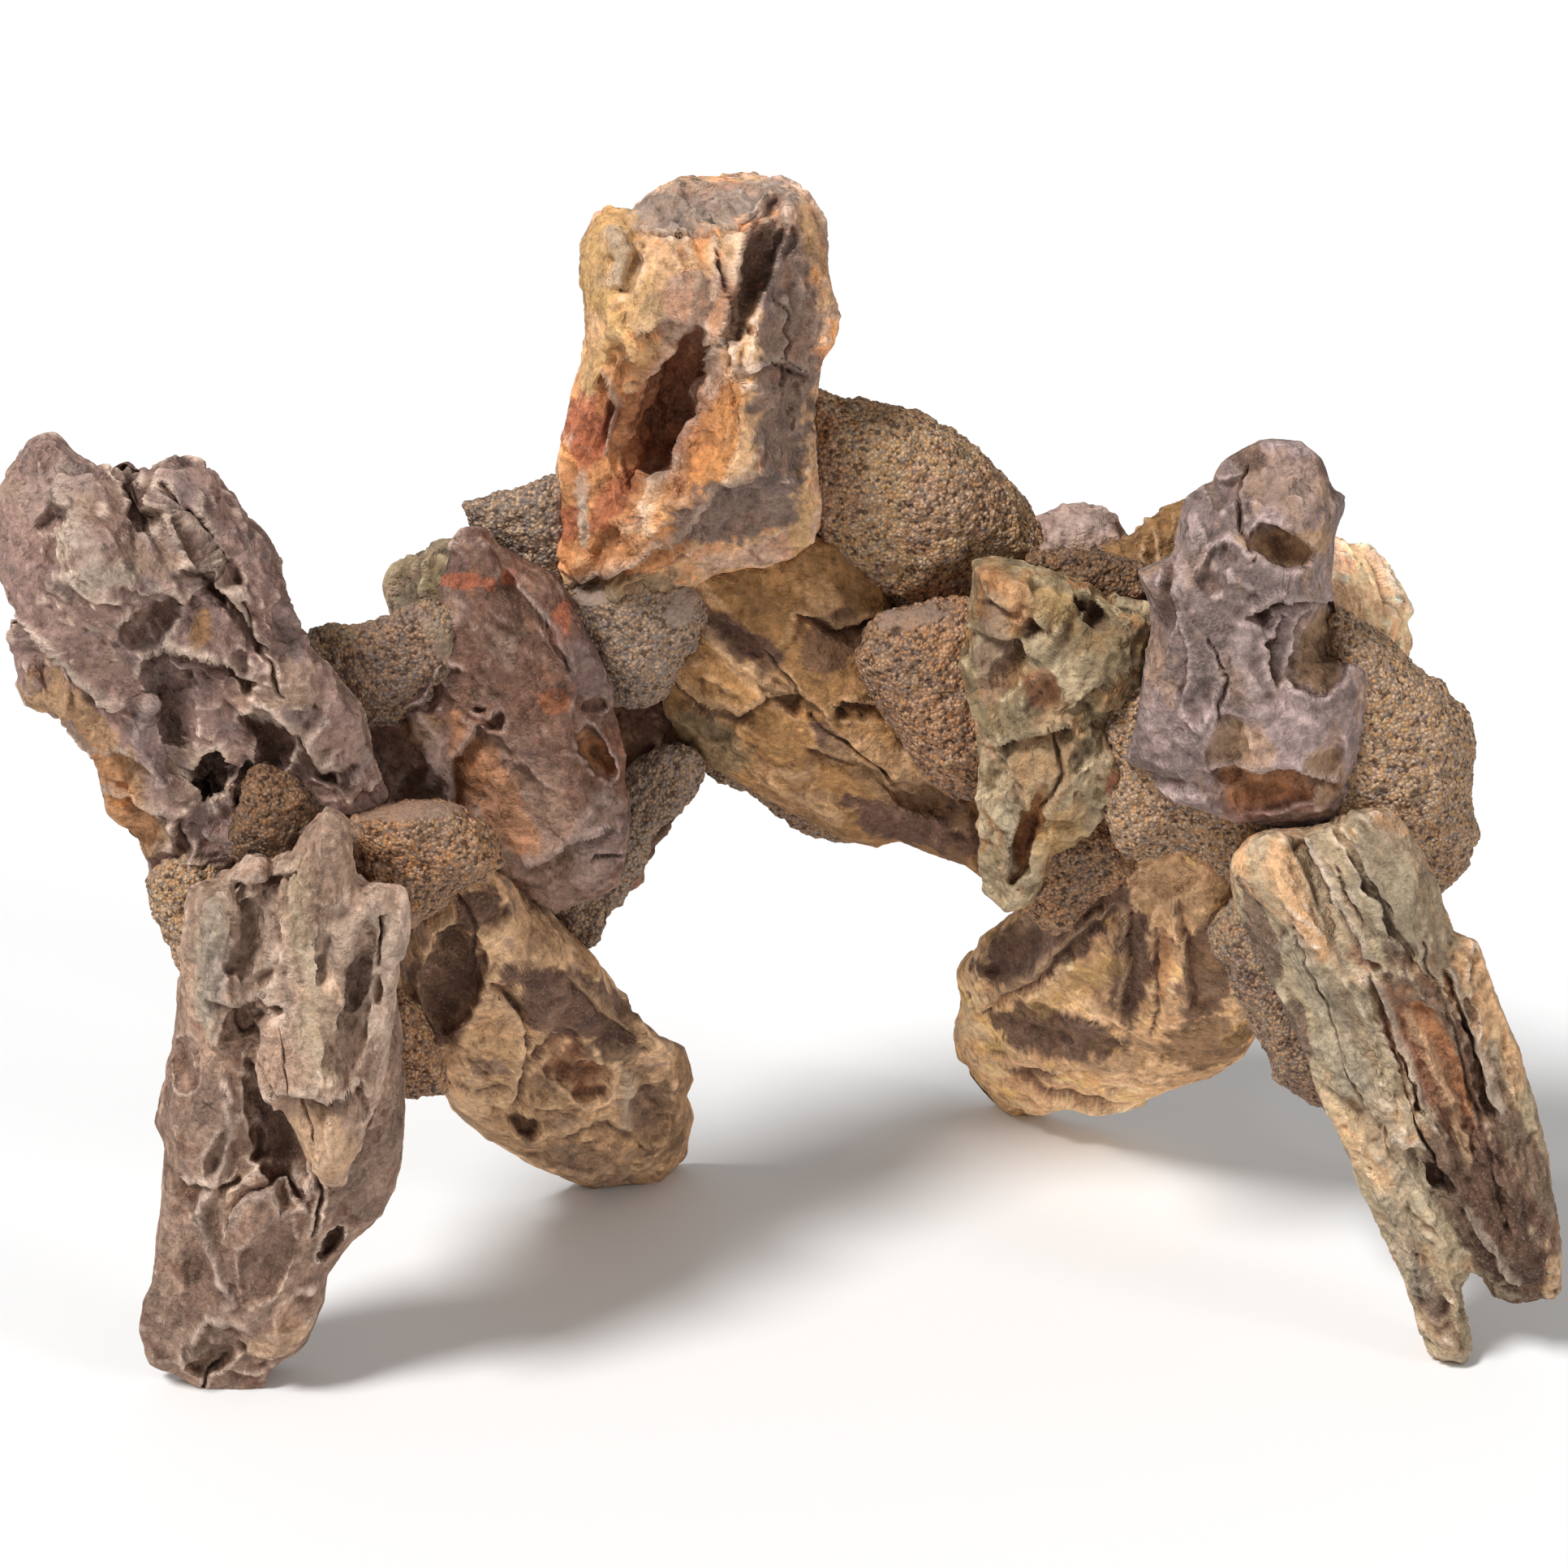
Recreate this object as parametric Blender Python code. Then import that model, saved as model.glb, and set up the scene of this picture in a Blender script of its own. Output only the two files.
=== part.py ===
"""An aquarium arch of dragon stones bonded with dabs of sanded mortar.

Every piece is drawn in millimetres on a square drawing sheet that faces a person who looks
slightly down at the arch. A piece has an outline on the sheet, a middle surface that says how far
back it stands, a front and a back swelling, flat broken facets and scooped hollows.
"""

import math
import random
from dataclasses import dataclass

import bmesh
import bpy
from mathutils import Matrix, Vector

MM = 0.001
SHEET_MIDDLE = 193.2
EYE_DISTANCE = 1000.0
LOOK_DOWN = math.radians(24.0)
AIM_HEIGHT = 135.0
SIN_DOWN = math.sin(LOOK_DOWN)
COS_DOWN = math.cos(LOOK_DOWN)
LOOK = Vector((0.0, COS_DOWN, -SIN_DOWN))
SHEET_UP = Vector((0.0, SIN_DOWN, COS_DOWN))

CLEARANCE = 0.42
SHARPEST_CORNER = 2.0
FRONT_RINGS = (0.88, 0.55)
BACK_RINGS = (0.78,)
DAB_FRONT_RINGS = (0.72,)
DAB_BACK_RINGS = (0.62,)
SMALLEST_EDGES = (0.15, 0.08, 0.03, 0.0)
WAVE_LENGTHS = (47.0, 29.0, 17.0)
BACK_BREAKS = 3
BREAK_SWING = 25.0
BREAK_AT_HEART = (0.62, 0.82)
BREAK_AT_OUTLINE = (0.18, 0.34)
BACK_SCOOPS = 2
SMALL_STONE = 24.0
SCOOP_REACH = 0.5
LONGEST_SCOOP = 15.0
SCOOP_LENGTH = (0.25, 0.4)
SCOOP_WIDTH = (0.45, 0.65)
SCOOP_SWING = 40.0
SCOOP_DEPTH = (6.0, 9.0)
LARGE_HOLLOW = 125.0
SCOOP_MARGIN = 1.04
PROBE = 8.0
STONE_ROUGHNESS = 0.85
MORTAR_ROUGHNESS = 0.95


@dataclass(frozen=True)
class Piece:
    """One stone or one dab of mortar.

    outline: points (right, down) on the sheet, clockwise as seen by the viewer
    heart: a sheet point from which the whole outline can be seen
    away: how far back the middle surface stands at the heart, in mm
    front, back: how far the piece swells to the viewer and away from the viewer
    lean: change of distance with height, turn: change of distance to the right
    square: 2 for a lens, 5 for a flat slab with round edges
    facets: (right, down, heading, level, fall): the skin falls away in the heading's direction
    hollows: (right, down, long half, short half, heading, depth)
    """

    name: str
    outline: tuple
    heart: tuple
    away: float
    front: float
    back: float
    colour: tuple
    lean: float = 0.0
    turn: float = 0.0
    square: float = 3.2
    rough: float = 1.3
    facets: tuple = ()
    hollows: tuple = ()
    mortar: bool = False


MAUVE = (0.30, 0.23, 0.20)
PINK_BROWN = (0.36, 0.28, 0.22)
TAUPE = (0.27, 0.20, 0.15)
DARK_RUST = (0.16, 0.11, 0.09)
TAN = (0.40, 0.30, 0.20)
ORANGE = (0.50, 0.27, 0.13)
OCHRE = (0.36, 0.26, 0.14)
OLIVE = (0.27, 0.24, 0.17)
SLATE_MAUVE = (0.30, 0.25, 0.25)
PALE_OLIVE = (0.42, 0.37, 0.25)
GREEN_GREY = (0.26, 0.25, 0.18)
DARK_BROWN = (0.12, 0.08, 0.06)
SANDY = (0.38, 0.28, 0.19)
SANDY_GREY = (0.31, 0.26, 0.22)

LEFT_MIDDLE = Piece(
    name="left_middle_stone",
    outline=(
        (76, 204), (80, 202), (84, 205), (87, 212), (90, 217.5), (99, 220), (99.5, 227), (98, 235),
        (97.5, 246), (95.5, 258), (93, 270), (89, 278), (86.5, 285), (84.5, 291), (80, 291),
        (74, 281), (70, 274.5), (66, 272), (65, 264), (62.5, 260), (51, 259), (49.5, 248),
        (45, 240), (45, 232), (47, 220), (54, 216), (61, 210.5), (67, 213), (73, 210),
    ),
    heart=(75, 243), away=-78, front=15, back=16, colour=PINK_BROWN, square=4.0,
    facets=((55, 236, 190, 11, 0.5), (90, 250, 0, 11, 0.7)),
    hollows=((63, 228, 15, 7, 70, 6), (61, 253, 8, 6, 60, 5), (88, 240, 9, 4, 70, 3)),
)

LEFT_CREST = Piece(
    name="left_crest_stone",
    outline=(
        (12.5, 108.5), (18, 113), (25, 117), (31.5, 114), (36.5, 117), (43, 113), (52.5, 116),
        (57.5, 121), (60, 128), (65.5, 134.5), (68.5, 146), (72, 155), (80.5, 166), (88, 177),
        (91, 187), (94.5, 196), (90, 200.5), (80, 199), (70, 194.5), (62, 190), (57.5, 198),
        (59.5, 207), (54, 215), (46, 218.5), (38, 216), (34, 207.5), (27.5, 200), (25, 187),
        (17, 177), (8, 172.5), (4.5, 161), (2, 157), (6.5, 150), (2, 141), (0.5, 126), (3, 116.5),
        (7.5, 110),
    ),
    heart=(46, 168), away=-58, front=27, back=32, colour=MAUVE, square=3.2, turn=0.12,
    facets=(
        (22, 175, 215, 18, 0.9), (18, 125, 140, 16, 0.7), (52, 130, 45, 17, 0.8),
        (78, 182, -35, 15, 0.5), (44, 150, 250, 25, 0.35),
    ),
    hollows=(
        (51.5, 191, 8, 5.5, 75, 17), (32.5, 122, 13, 5, -70, 10), (42, 172, 13, 7, -70, 7),
        (66, 182, 9, 6, -60, 8), (50, 134, 15, 5, -55, 6), (37, 152, 9, 6, 50, 5),
    ),
)

LEFT_FOOT = Piece(
    name="left_foot_stone",
    outline=(
        (57, 343.5), (50, 342), (43, 338.5), (37, 336), (35, 328), (36, 321), (38, 316),
        (39.5, 302), (41, 283), (38.5, 276), (39.5, 270), (42.5, 259), (43.5, 249), (44, 241),
        (53, 231), (68, 227), (85, 230), (96, 241), (99, 256), (99, 277), (97.5, 288), (94, 299),
        (87, 306), (81, 314), (79.5, 321), (75, 330), (70, 334.5), (66, 337.5), (64, 342),
    ),
    heart=(66, 292), away=-64, front=18, back=28, colour=TAUPE, lean=-0.05, square=3.6,
    facets=((50, 300, 195, 13, 0.45), (84, 290, -20, 13, 0.5), (62, 327, 265, 13, 0.9)),
    hollows=(
        (68, 277, 22, 8, 100, 11), (82, 306, 4.5, 3, 60, 6), (53, 332, 9, 6, 20, 6),
        (46, 262, 8, 4, 90, 5),
    ),
)

LEFT_FACE = Piece(
    name="left_face_stone",
    outline=(
        (115, 131), (119, 131), (129, 138.5), (136, 142), (140, 148), (146, 160), (151, 170),
        (151, 175), (154, 186), (153.5, 192), (154.5, 201), (154, 210), (151.5, 218),
        (146, 221.5), (137, 225), (130, 222), (121, 217), (110, 213), (99, 208), (92, 199),
        (90, 188), (88.5, 178), (91, 171), (98, 168.5), (99.5, 159), (104, 155.5), (108.5, 151),
        (110, 141), (112, 134),
    ),
    heart=(123, 180), away=-30, front=15, back=28, colour=DARK_RUST, square=4.2,
    facets=(
        (143, 180, 10, 11, 0.9), (112, 150, 120, 12, 0.4), (97, 180, 190, 10, 0.6),
        (118, 206, 235, 13, 0.5),
    ),
    hollows=((147, 186, 8, 4, -60, 7), (104, 199, 11, 8, 80, 5)),
)

INNER_LEFT_FOOT = Piece(
    name="inner_left_foot_stone",
    outline=(
        (117, 211), (124, 214), (131, 220), (142, 232), (149, 239), (153, 245), (155, 250),
        (163, 256), (168, 258.5), (170.5, 266), (169.5, 270), (170.5, 276), (168.5, 285),
        (163, 291), (154, 291.5), (147, 292.5), (139, 290), (130, 286), (120, 280), (112, 273),
        (106, 262), (99, 255), (97, 243), (98, 231), (102, 224), (109, 216), (113, 211),
    ),
    heart=(128, 254), away=1, front=34, back=28, colour=TAN, lean=-0.47, turn=0.38, square=3.4,
    facets=(
        (106, 248, 195, 26, 1.0), (138, 262, -20, 30, 0.35), (150, 246, 40, 26, 0.8),
        (125, 273, 250, 26, 0.7),
    ),
    hollows=(
        (112, 240, 14, 8, 80, 8), (141, 262, 12, 7, -40, 9), (129, 277, 4.5, 3, -30, 7),
        (160, 275, 8, 6, 80, 4),
    ),
)

CROWN = Piece(
    name="crown_stone",
    outline=(
        (150.5, 52), (156, 52.5), (161, 48.5), (168, 44.5), (178, 43), (187, 43), (192, 45),
        (198, 48.5), (202, 55), (202.5, 66), (204.5, 80), (202.5, 88), (200.5, 100), (200.5, 113),
        (202, 126), (200, 133), (196, 137), (188, 139.5), (175, 142.5), (167, 148), (156, 150.5),
        (146, 149.5), (140, 146.5), (139, 143), (140, 130), (138, 116), (141, 105), (143, 95),
        (145.5, 86), (145, 73), (144.5, 60), (147, 53),
    ),
    heart=(172, 97), away=-12, front=32, back=36, colour=ORANGE, square=4.4,
    facets=(
        (172, 59, 95, 28, 2.1), (190, 100, 5, 25, 1.0), (178, 124, -62, 26, 1.1),
        (152, 100, 190, 24, 0.8),
    ),
    hollows=((165, 100, 22, 8, 68, 17), (186, 66, 18, 4.5, 72, 8), (154, 66, 7, 5, 90, 3)),
)

KEYSTONE = Piece(
    name="keystone",
    outline=(
        (168, 140), (185, 134), (200, 131), (212, 134), (217.5, 142), (219, 154), (224, 170),
        (232, 186), (246, 198), (245, 210), (242.5, 216), (238, 213), (230, 210), (222, 207),
        (216, 208), (208, 206), (200, 201), (191, 197.5), (184, 193.5), (174, 187.5),
        (167, 182), (164.5, 174), (164.5, 163), (169, 152),
    ),
    heart=(202, 172), away=0, front=22, back=30, colour=OCHRE, square=4.6, turn=0.1,
    facets=(
        (180, 178, 215, 15, 1.1), (222, 176, 40, 19, 0.5), (205, 194, 262, 18, 0.45),
        (190, 158, 140, 20, 0.25),
    ),
    hollows=((183, 160, 14, 4, -38, 3), (195, 172, 12, 3, -32, 3), (228, 197, 10, 4, -25, 4)),
)

RIGHT_PLATE = Piece(
    name="right_plate_stone",
    outline=(
        (241, 139.5), (245, 138.5), (258, 141.5), (268, 145), (276, 149), (283, 150.5),
        (283.5, 159), (281, 167), (275, 173), (271.5, 178), (273, 186), (277, 194), (275, 198),
        (269, 202), (264, 208), (258, 211), (256, 217), (253, 221.5), (248, 223.5), (243, 219),
        (242, 210), (242.5, 198), (242.5, 188), (241, 177), (238.5, 164), (240, 154),
        (240.5, 144),
    ),
    heart=(259, 178), away=-32, front=16, back=22, colour=OLIVE, square=4.2, turn=-0.1,
    facets=(
        (262, 152, 70, 13, 0.7), (247, 170, 195, 13, 0.7), (270, 186, -20, 12, 0.7),
        (250, 212, 200, 10, 0.5),
    ),
    hollows=(
        (268.5, 151, 7, 3, -28, 7), (254, 205, 14, 4.5, 72, 8), (249, 164, 7, 4, 70, 4),
        (257, 172, 6, 4, 60, 3),
    ),
)

RIGHT_CREST = Piece(
    name="right_crest_stone",
    outline=(
        (311, 109.5), (320, 109.5), (325, 113), (329, 120), (331, 122.5), (328.5, 132),
        (327.5, 143), (329, 152), (333, 163), (338, 167), (338.5, 177), (337, 187), (334, 196),
        (329, 202.5), (322, 204.3), (313, 203.5), (304, 202), (297, 199.5), (290, 197),
        (284, 191), (278, 187), (280, 177), (281.5, 165), (284, 154), (284, 149), (281, 141),
        (289, 136.5), (292, 129), (294, 123), (300, 119), (303, 114),
    ),
    heart=(307, 160), away=-44, front=22, back=30, colour=SLATE_MAUVE, square=3.4, turn=0.08,
    facets=(
        (300, 128, 115, 15, 0.8), (318, 120, 70, 14, 0.9), (288, 165, 185, 15, 0.8),
        (308, 190, 262, 17, 0.4),
    ),
    hollows=(
        (315, 135, 9, 6, -20, 9), (325, 160, 13, 9, 80, 12), (303, 184, 9, 6, 80, 6),
        (311, 194, 14, 6, 5, 7), (287, 152, 12, 3, 80, 4),
    ),
)

RIGHT_INNER_FOOT = Piece(
    name="right_inner_foot_stone",
    outline=(
        (294, 204), (302, 208), (306, 218), (308, 230), (310, 242), (311, 251), (307, 260),
        (300, 264), (290, 268), (281, 271.5), (270, 273), (262, 272.5), (253.5, 275.5),
        (248, 273.5), (242.5, 267), (237, 260), (235.5, 252), (237, 246), (237, 239),
        (242, 231.5), (248, 227), (254, 221), (262, 215), (270, 211), (276, 208), (284, 205),
    ),
    heart=(274, 242), away=28, front=34, back=28, colour=TAN, lean=-0.6, turn=-0.6, square=3.8,
    facets=(
        (256, 234, 140, 28, 0.8), (296, 238, 10, 30, 0.4), (262, 262, 235, 27, 0.7),
        (290, 260, -70, 27, 0.7), (280, 220, 85, 30, 0.7),
    ),
    hollows=((252, 233, 11, 5, 35, 5), (258, 252, 10, 5, -35, 4), (286, 232, 10, 3.5, 80, 3)),
)

RIGHT_FOOT = Piece(
    name="right_foot_stone",
    outline=(
        (314, 204.5), (323, 204), (335, 201.8), (341, 200.5), (345, 203), (350, 209), (354, 219),
        (357.5, 230), (363, 233.5), (369, 248), (375, 262), (379, 280), (383, 300), (385.5, 316),
        (383, 319.5), (374, 320.5), (369, 319), (366, 315), (362.5, 314), (360, 318),
        (359.7, 324), (361.5, 332), (360, 336), (353, 333), (348, 318), (341, 302), (334, 287),
        (326, 269), (320, 254), (312, 238), (305, 222), (303, 213), (308, 207),
    ),
    heart=(343, 262), away=-51, front=17, back=22, colour=PALE_OLIVE, lean=-0.06, square=4.8,
    rough=1.0,
    facets=((322, 240, 205, 13, 0.8), (360, 250, 20, 12, 0.8), (346, 216, 60, 14, 0.35)),
    hollows=(
        (352, 262, 26, 8, -62, 6), (340, 222, 22, 2.6, -58, 4), (355, 291, 5, 2, -50, 7),
        (333, 253, 14, 4, -65, 3), (364, 290, 20, 6, -68, 4),
    ),
)

BACK_LEFT_GREEN = Piece(
    name="back_left_green_stone",
    outline=(
        (97, 145), (98.5, 141), (103, 138.5), (110, 136.5), (118, 136), (125, 141), (127, 150),
        (122, 162), (112, 166), (103, 161), (98, 153),
    ),
    heart=(111, 150), away=-9, front=14, back=20, colour=GREEN_GREY, square=2.8,
)

INNER_DARK = Piece(
    name="inner_dark_stone",
    outline=(
        (148, 168), (156, 164), (165, 168), (170, 178), (168, 190), (164, 203), (157, 216),
        (148, 224), (140, 221), (138, 208), (142, 186),
    ),
    heart=(154, 192), away=12, front=16, back=18, colour=DARK_BROWN, square=3.0,
)

BACK_PINK = Piece(
    name="back_pink_stone",
    outline=(
        (255, 128), (261, 125.5), (267, 125.5), (273, 129), (277, 132.5), (280, 138), (279, 148),
        (273, 156), (262, 155), (252, 148), (250, 138),
    ),
    heart=(267, 141), away=4, front=14, back=24, colour=MAUVE, square=2.8,
)

BACK_OCHRE = Piece(
    name="back_ochre_stone",
    outline=(
        (270, 134), (278, 132), (283, 128.5), (289, 125.5), (296, 125), (302, 131), (304, 144),
        (300, 155), (289, 160), (277, 156), (270, 146),
    ),
    heart=(287, 143), away=-4, front=14, back=26, colour=OCHRE, square=2.8,
)

RIGHT_BACK = Piece(
    name="right_back_stone",
    outline=(
        (324, 131), (331, 132.5), (337, 137), (342, 143.5), (345, 151), (345.5, 159),
        (342, 169), (334, 176), (324, 172), (317, 160), (316, 142),
    ),
    heart=(331, 153), away=-8, front=15, back=26, colour=TAN, square=2.8,
)

MORTAR_TOP_RIGHT = Piece(
    name="mortar_top_right",
    outline=(
        (198, 96), (204, 97), (216, 98.5), (230, 103), (242, 111), (252, 122), (257.5, 131),
        (260.5, 139), (250, 145), (238, 152), (224, 153), (213, 146), (203, 138), (195, 125),
        (193, 108),
    ),
    heart=(224, 126), away=4, front=25, back=34, colour=SANDY, square=2.6, mortar=True,
    hollows=((236, 142, 9, 4, 30, 4),),
)

MORTAR_TOP_LEFT = Piece(
    name="mortar_top_left",
    outline=(
        (113.5, 124), (121, 122), (128, 120), (136, 117), (144, 117), (149, 130), (147, 148),
        (137, 151), (127, 146), (119, 137), (116.5, 130),
    ),
    heart=(133, 130), away=-14, front=9, back=22, colour=SANDY, square=2.4, mortar=True,
)

MORTAR_KEYSTONE_LEFT = Piece(
    name="mortar_keystone_left",
    outline=(
        (137, 146), (150, 142), (164, 142), (173, 147), (174, 156), (169, 163), (165, 170),
        (161, 173.5), (156, 174.5), (149, 173), (143, 165), (138, 156),
    ),
    heart=(158, 158), away=-18, front=10, back=26, colour=SANDY_GREY, square=2.6, mortar=True,
)

MORTAR_KEYSTONE_RIGHT = Piece(
    name="mortar_keystone_right",
    outline=(
        (213, 154), (218, 150.5), (228, 148.5), (240, 148), (247, 158), (249, 178), (246, 195),
        (238, 197), (230, 193), (224, 186), (218, 177), (212, 167), (211, 160),
    ),
    heart=(231, 172), away=-20, front=13, back=24, colour=SANDY_GREY, square=3.0, mortar=True,
)

MORTAR_KEYSTONE_LOW = Piece(
    name="mortar_keystone_low",
    outline=(
        (168, 181), (188, 184), (202, 191), (216, 198), (216, 206), (208, 207.3), (198, 205.5),
        (191, 200.5), (184, 195), (175, 190.5),
    ),
    heart=(196, 196), away=14, front=8, back=18, colour=SANDY_GREY, square=2.6, mortar=True,
)

MORTAR_LEFT_SADDLE = Piece(
    name="mortar_left_saddle",
    outline=(
        (70, 158), (75, 157), (80, 154.5), (90, 153.5), (98, 150.5), (106, 147), (113, 152),
        (112, 166), (102, 176), (92, 180), (84, 178), (76, 168),
    ),
    heart=(92, 165), away=-38, front=10, back=26, colour=SANDY_GREY, square=2.6, mortar=True,
)

MORTAR_LEFT_CENTRE = Piece(
    name="mortar_left_centre",
    outline=(
        (84, 201), (92, 198.5), (102, 197.3), (110, 197.5), (117, 200.5), (122, 206),
        (123.5, 213), (119, 217), (113, 220), (108, 224.5), (102, 229), (95, 230),
        (88, 225), (84, 216), (83, 208),
    ),
    heart=(103, 211), away=-58, front=15, back=24, colour=SANDY, square=2.6, mortar=True,
)

MORTAR_LEFT_NECK = Piece(
    name="mortar_left_neck",
    outline=(
        (60, 190), (64, 187), (70, 190), (77, 195), (80.5, 202), (79, 209), (75, 217),
        (67, 221), (59, 216), (56.5, 207), (58, 198),
    ),
    heart=(67, 203), away=-66, front=14, back=22, colour=SANDY, square=2.6, mortar=True,
)

MORTAR_LEFT_BACK = Piece(
    name="mortar_left_back",
    outline=(
        (37.5, 214), (44, 210), (54, 212), (58, 224), (54, 238), (47, 243), (43.5, 238),
        (40.5, 230), (37.5, 226), (36.5, 220),
    ),
    heart=(47, 225), away=-60, front=11, back=24, colour=SANDY, square=2.4, mortar=True,
)

MORTAR_INNER_LEFT = Piece(
    name="mortar_inner_left",
    outline=(
        (170, 183.5), (174, 189), (170.5, 197), (161.5, 206), (160, 211), (154, 220.5),
        (149.5, 226), (146, 234), (139, 230), (135, 223), (143, 210), (149, 199), (156, 188),
        (163, 183.5),
    ),
    heart=(156, 208), away=-8, front=8, back=24, colour=SANDY_GREY, square=2.4, mortar=True,
)

MORTAR_INNER_LEFT_LOW = Piece(
    name="mortar_inner_left_low",
    outline=(
        (95, 244), (102, 247), (107, 256), (110, 264), (110, 269), (104, 269.7), (98.3, 269.5),
        (84, 263), (84, 250),
    ),
    heart=(99, 258), away=-44, front=10, back=46, colour=SANDY, square=2.6, mortar=True,
)

MORTAR_RIGHT_SADDLE = Piece(
    name="mortar_right_saddle",
    outline=(
        (253, 137), (264, 135.5), (274, 136.5), (282, 139), (289, 145), (288, 156), (276, 158),
        (264, 152), (254, 146),
    ),
    heart=(272, 146), away=-18, front=11, back=24, colour=SANDY, square=2.6, mortar=True,
)

MORTAR_RIGHT_SHOULDER = Piece(
    name="mortar_right_shoulder",
    outline=(
        (327, 150), (335, 152.5), (343, 158), (349, 164), (355, 167.5), (360, 174),
        (363.5, 181), (363, 190), (363, 199), (364, 207), (361, 214), (354, 220.5), (347, 226),
        (334, 222), (324, 208), (322, 188), (324, 168),
    ),
    heart=(343, 188), away=-34, front=22, back=34, colour=SANDY, square=2.8, mortar=True,
)

MORTAR_RIGHT_NECK = Piece(
    name="mortar_right_neck",
    outline=(
        (281, 165), (290, 170), (302, 184), (317, 198), (321, 209), (315, 219), (304, 218),
        (297, 212.5), (291, 209.5), (284, 211.5), (277.5, 212), (273.5, 206), (271.5, 199),
        (274, 192), (271.5, 184), (271.5, 177), (276, 171),
    ),
    heart=(288, 194), away=-36, front=12, back=28, colour=SANDY, square=2.8, mortar=True,
)

MORTAR_RIGHT_INNER = Piece(
    name="mortar_right_inner",
    outline=(
        (258, 203), (268, 199), (278, 203), (281, 213), (275, 219), (268, 223), (264, 229),
        (258, 230), (252.5, 224), (253, 212),
    ),
    heart=(266, 214), away=-20, front=13, back=34, colour=SANDY_GREY, square=2.6, mortar=True,
)

MORTAR_RIGHT_LEG = Piece(
    name="mortar_right_leg",
    outline=(
        (303, 222), (313, 221), (325, 236), (334, 256), (337, 272), (331, 275), (323, 271.5),
        (315, 266.5), (312, 259.5), (308, 252), (302, 240), (298, 230),
    ),
    heart=(316, 250), away=-35, front=14, back=38, colour=SANDY_GREY, square=2.6, mortar=True,
)

# Nearer pieces come first and stay whole; each later piece is let into those before it.
PIECES = (
    LEFT_MIDDLE, LEFT_CREST, MORTAR_LEFT_NECK, MORTAR_LEFT_CENTRE, LEFT_FOOT, RIGHT_FOOT,
    RIGHT_CREST, RIGHT_PLATE, LEFT_FACE, CROWN, MORTAR_RIGHT_NECK, MORTAR_KEYSTONE_RIGHT,
    KEYSTONE, MORTAR_KEYSTONE_LEFT, MORTAR_RIGHT_SHOULDER, MORTAR_LEFT_SADDLE, MORTAR_TOP_LEFT,
    MORTAR_LEFT_BACK, MORTAR_RIGHT_SADDLE, MORTAR_TOP_RIGHT, INNER_LEFT_FOOT, RIGHT_INNER_FOOT,
    MORTAR_INNER_LEFT_LOW, MORTAR_RIGHT_INNER, MORTAR_RIGHT_LEG, MORTAR_INNER_LEFT,
    BACK_LEFT_GREEN, INNER_DARK, BACK_PINK, BACK_OCHRE, RIGHT_BACK, MORTAR_KEYSTONE_LOW,
)


def clear_scene():
    """Remove what the start-up scene holds."""
    for obj in list(bpy.data.objects):
        bpy.data.objects.remove(obj, do_unlink=True)


def sight_point(right, down, depth):
    """World point in mm, on the line of sight through a sheet point, this far past the sheet."""
    spread = 1.0 + depth / EYE_DISTANCE
    across = (right - SHEET_MIDDLE) * spread
    up = (SHEET_MIDDLE - down) * spread
    return Vector((across, 0.0, AIM_HEIGHT)) + LOOK * depth + SHEET_UP * up


def depth_on_plane(right, down, away, anchor, lean, turn):
    """Depth at which a line of sight meets the plane y = away + lean (z - z0) + turn (x - x0)."""
    across = right - SHEET_MIDDLE
    up = SHEET_MIDDLE - down
    near = up * SIN_DOWN - away
    near -= lean * (AIM_HEIGHT + up * COS_DOWN - anchor.z) + turn * (across - anchor.x)
    pace = COS_DOWN + up * SIN_DOWN / EYE_DISTANCE
    pace -= lean * (-SIN_DOWN + up * COS_DOWN / EYE_DISTANCE) + turn * across / EYE_DISTANCE
    return -near / pace


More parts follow.
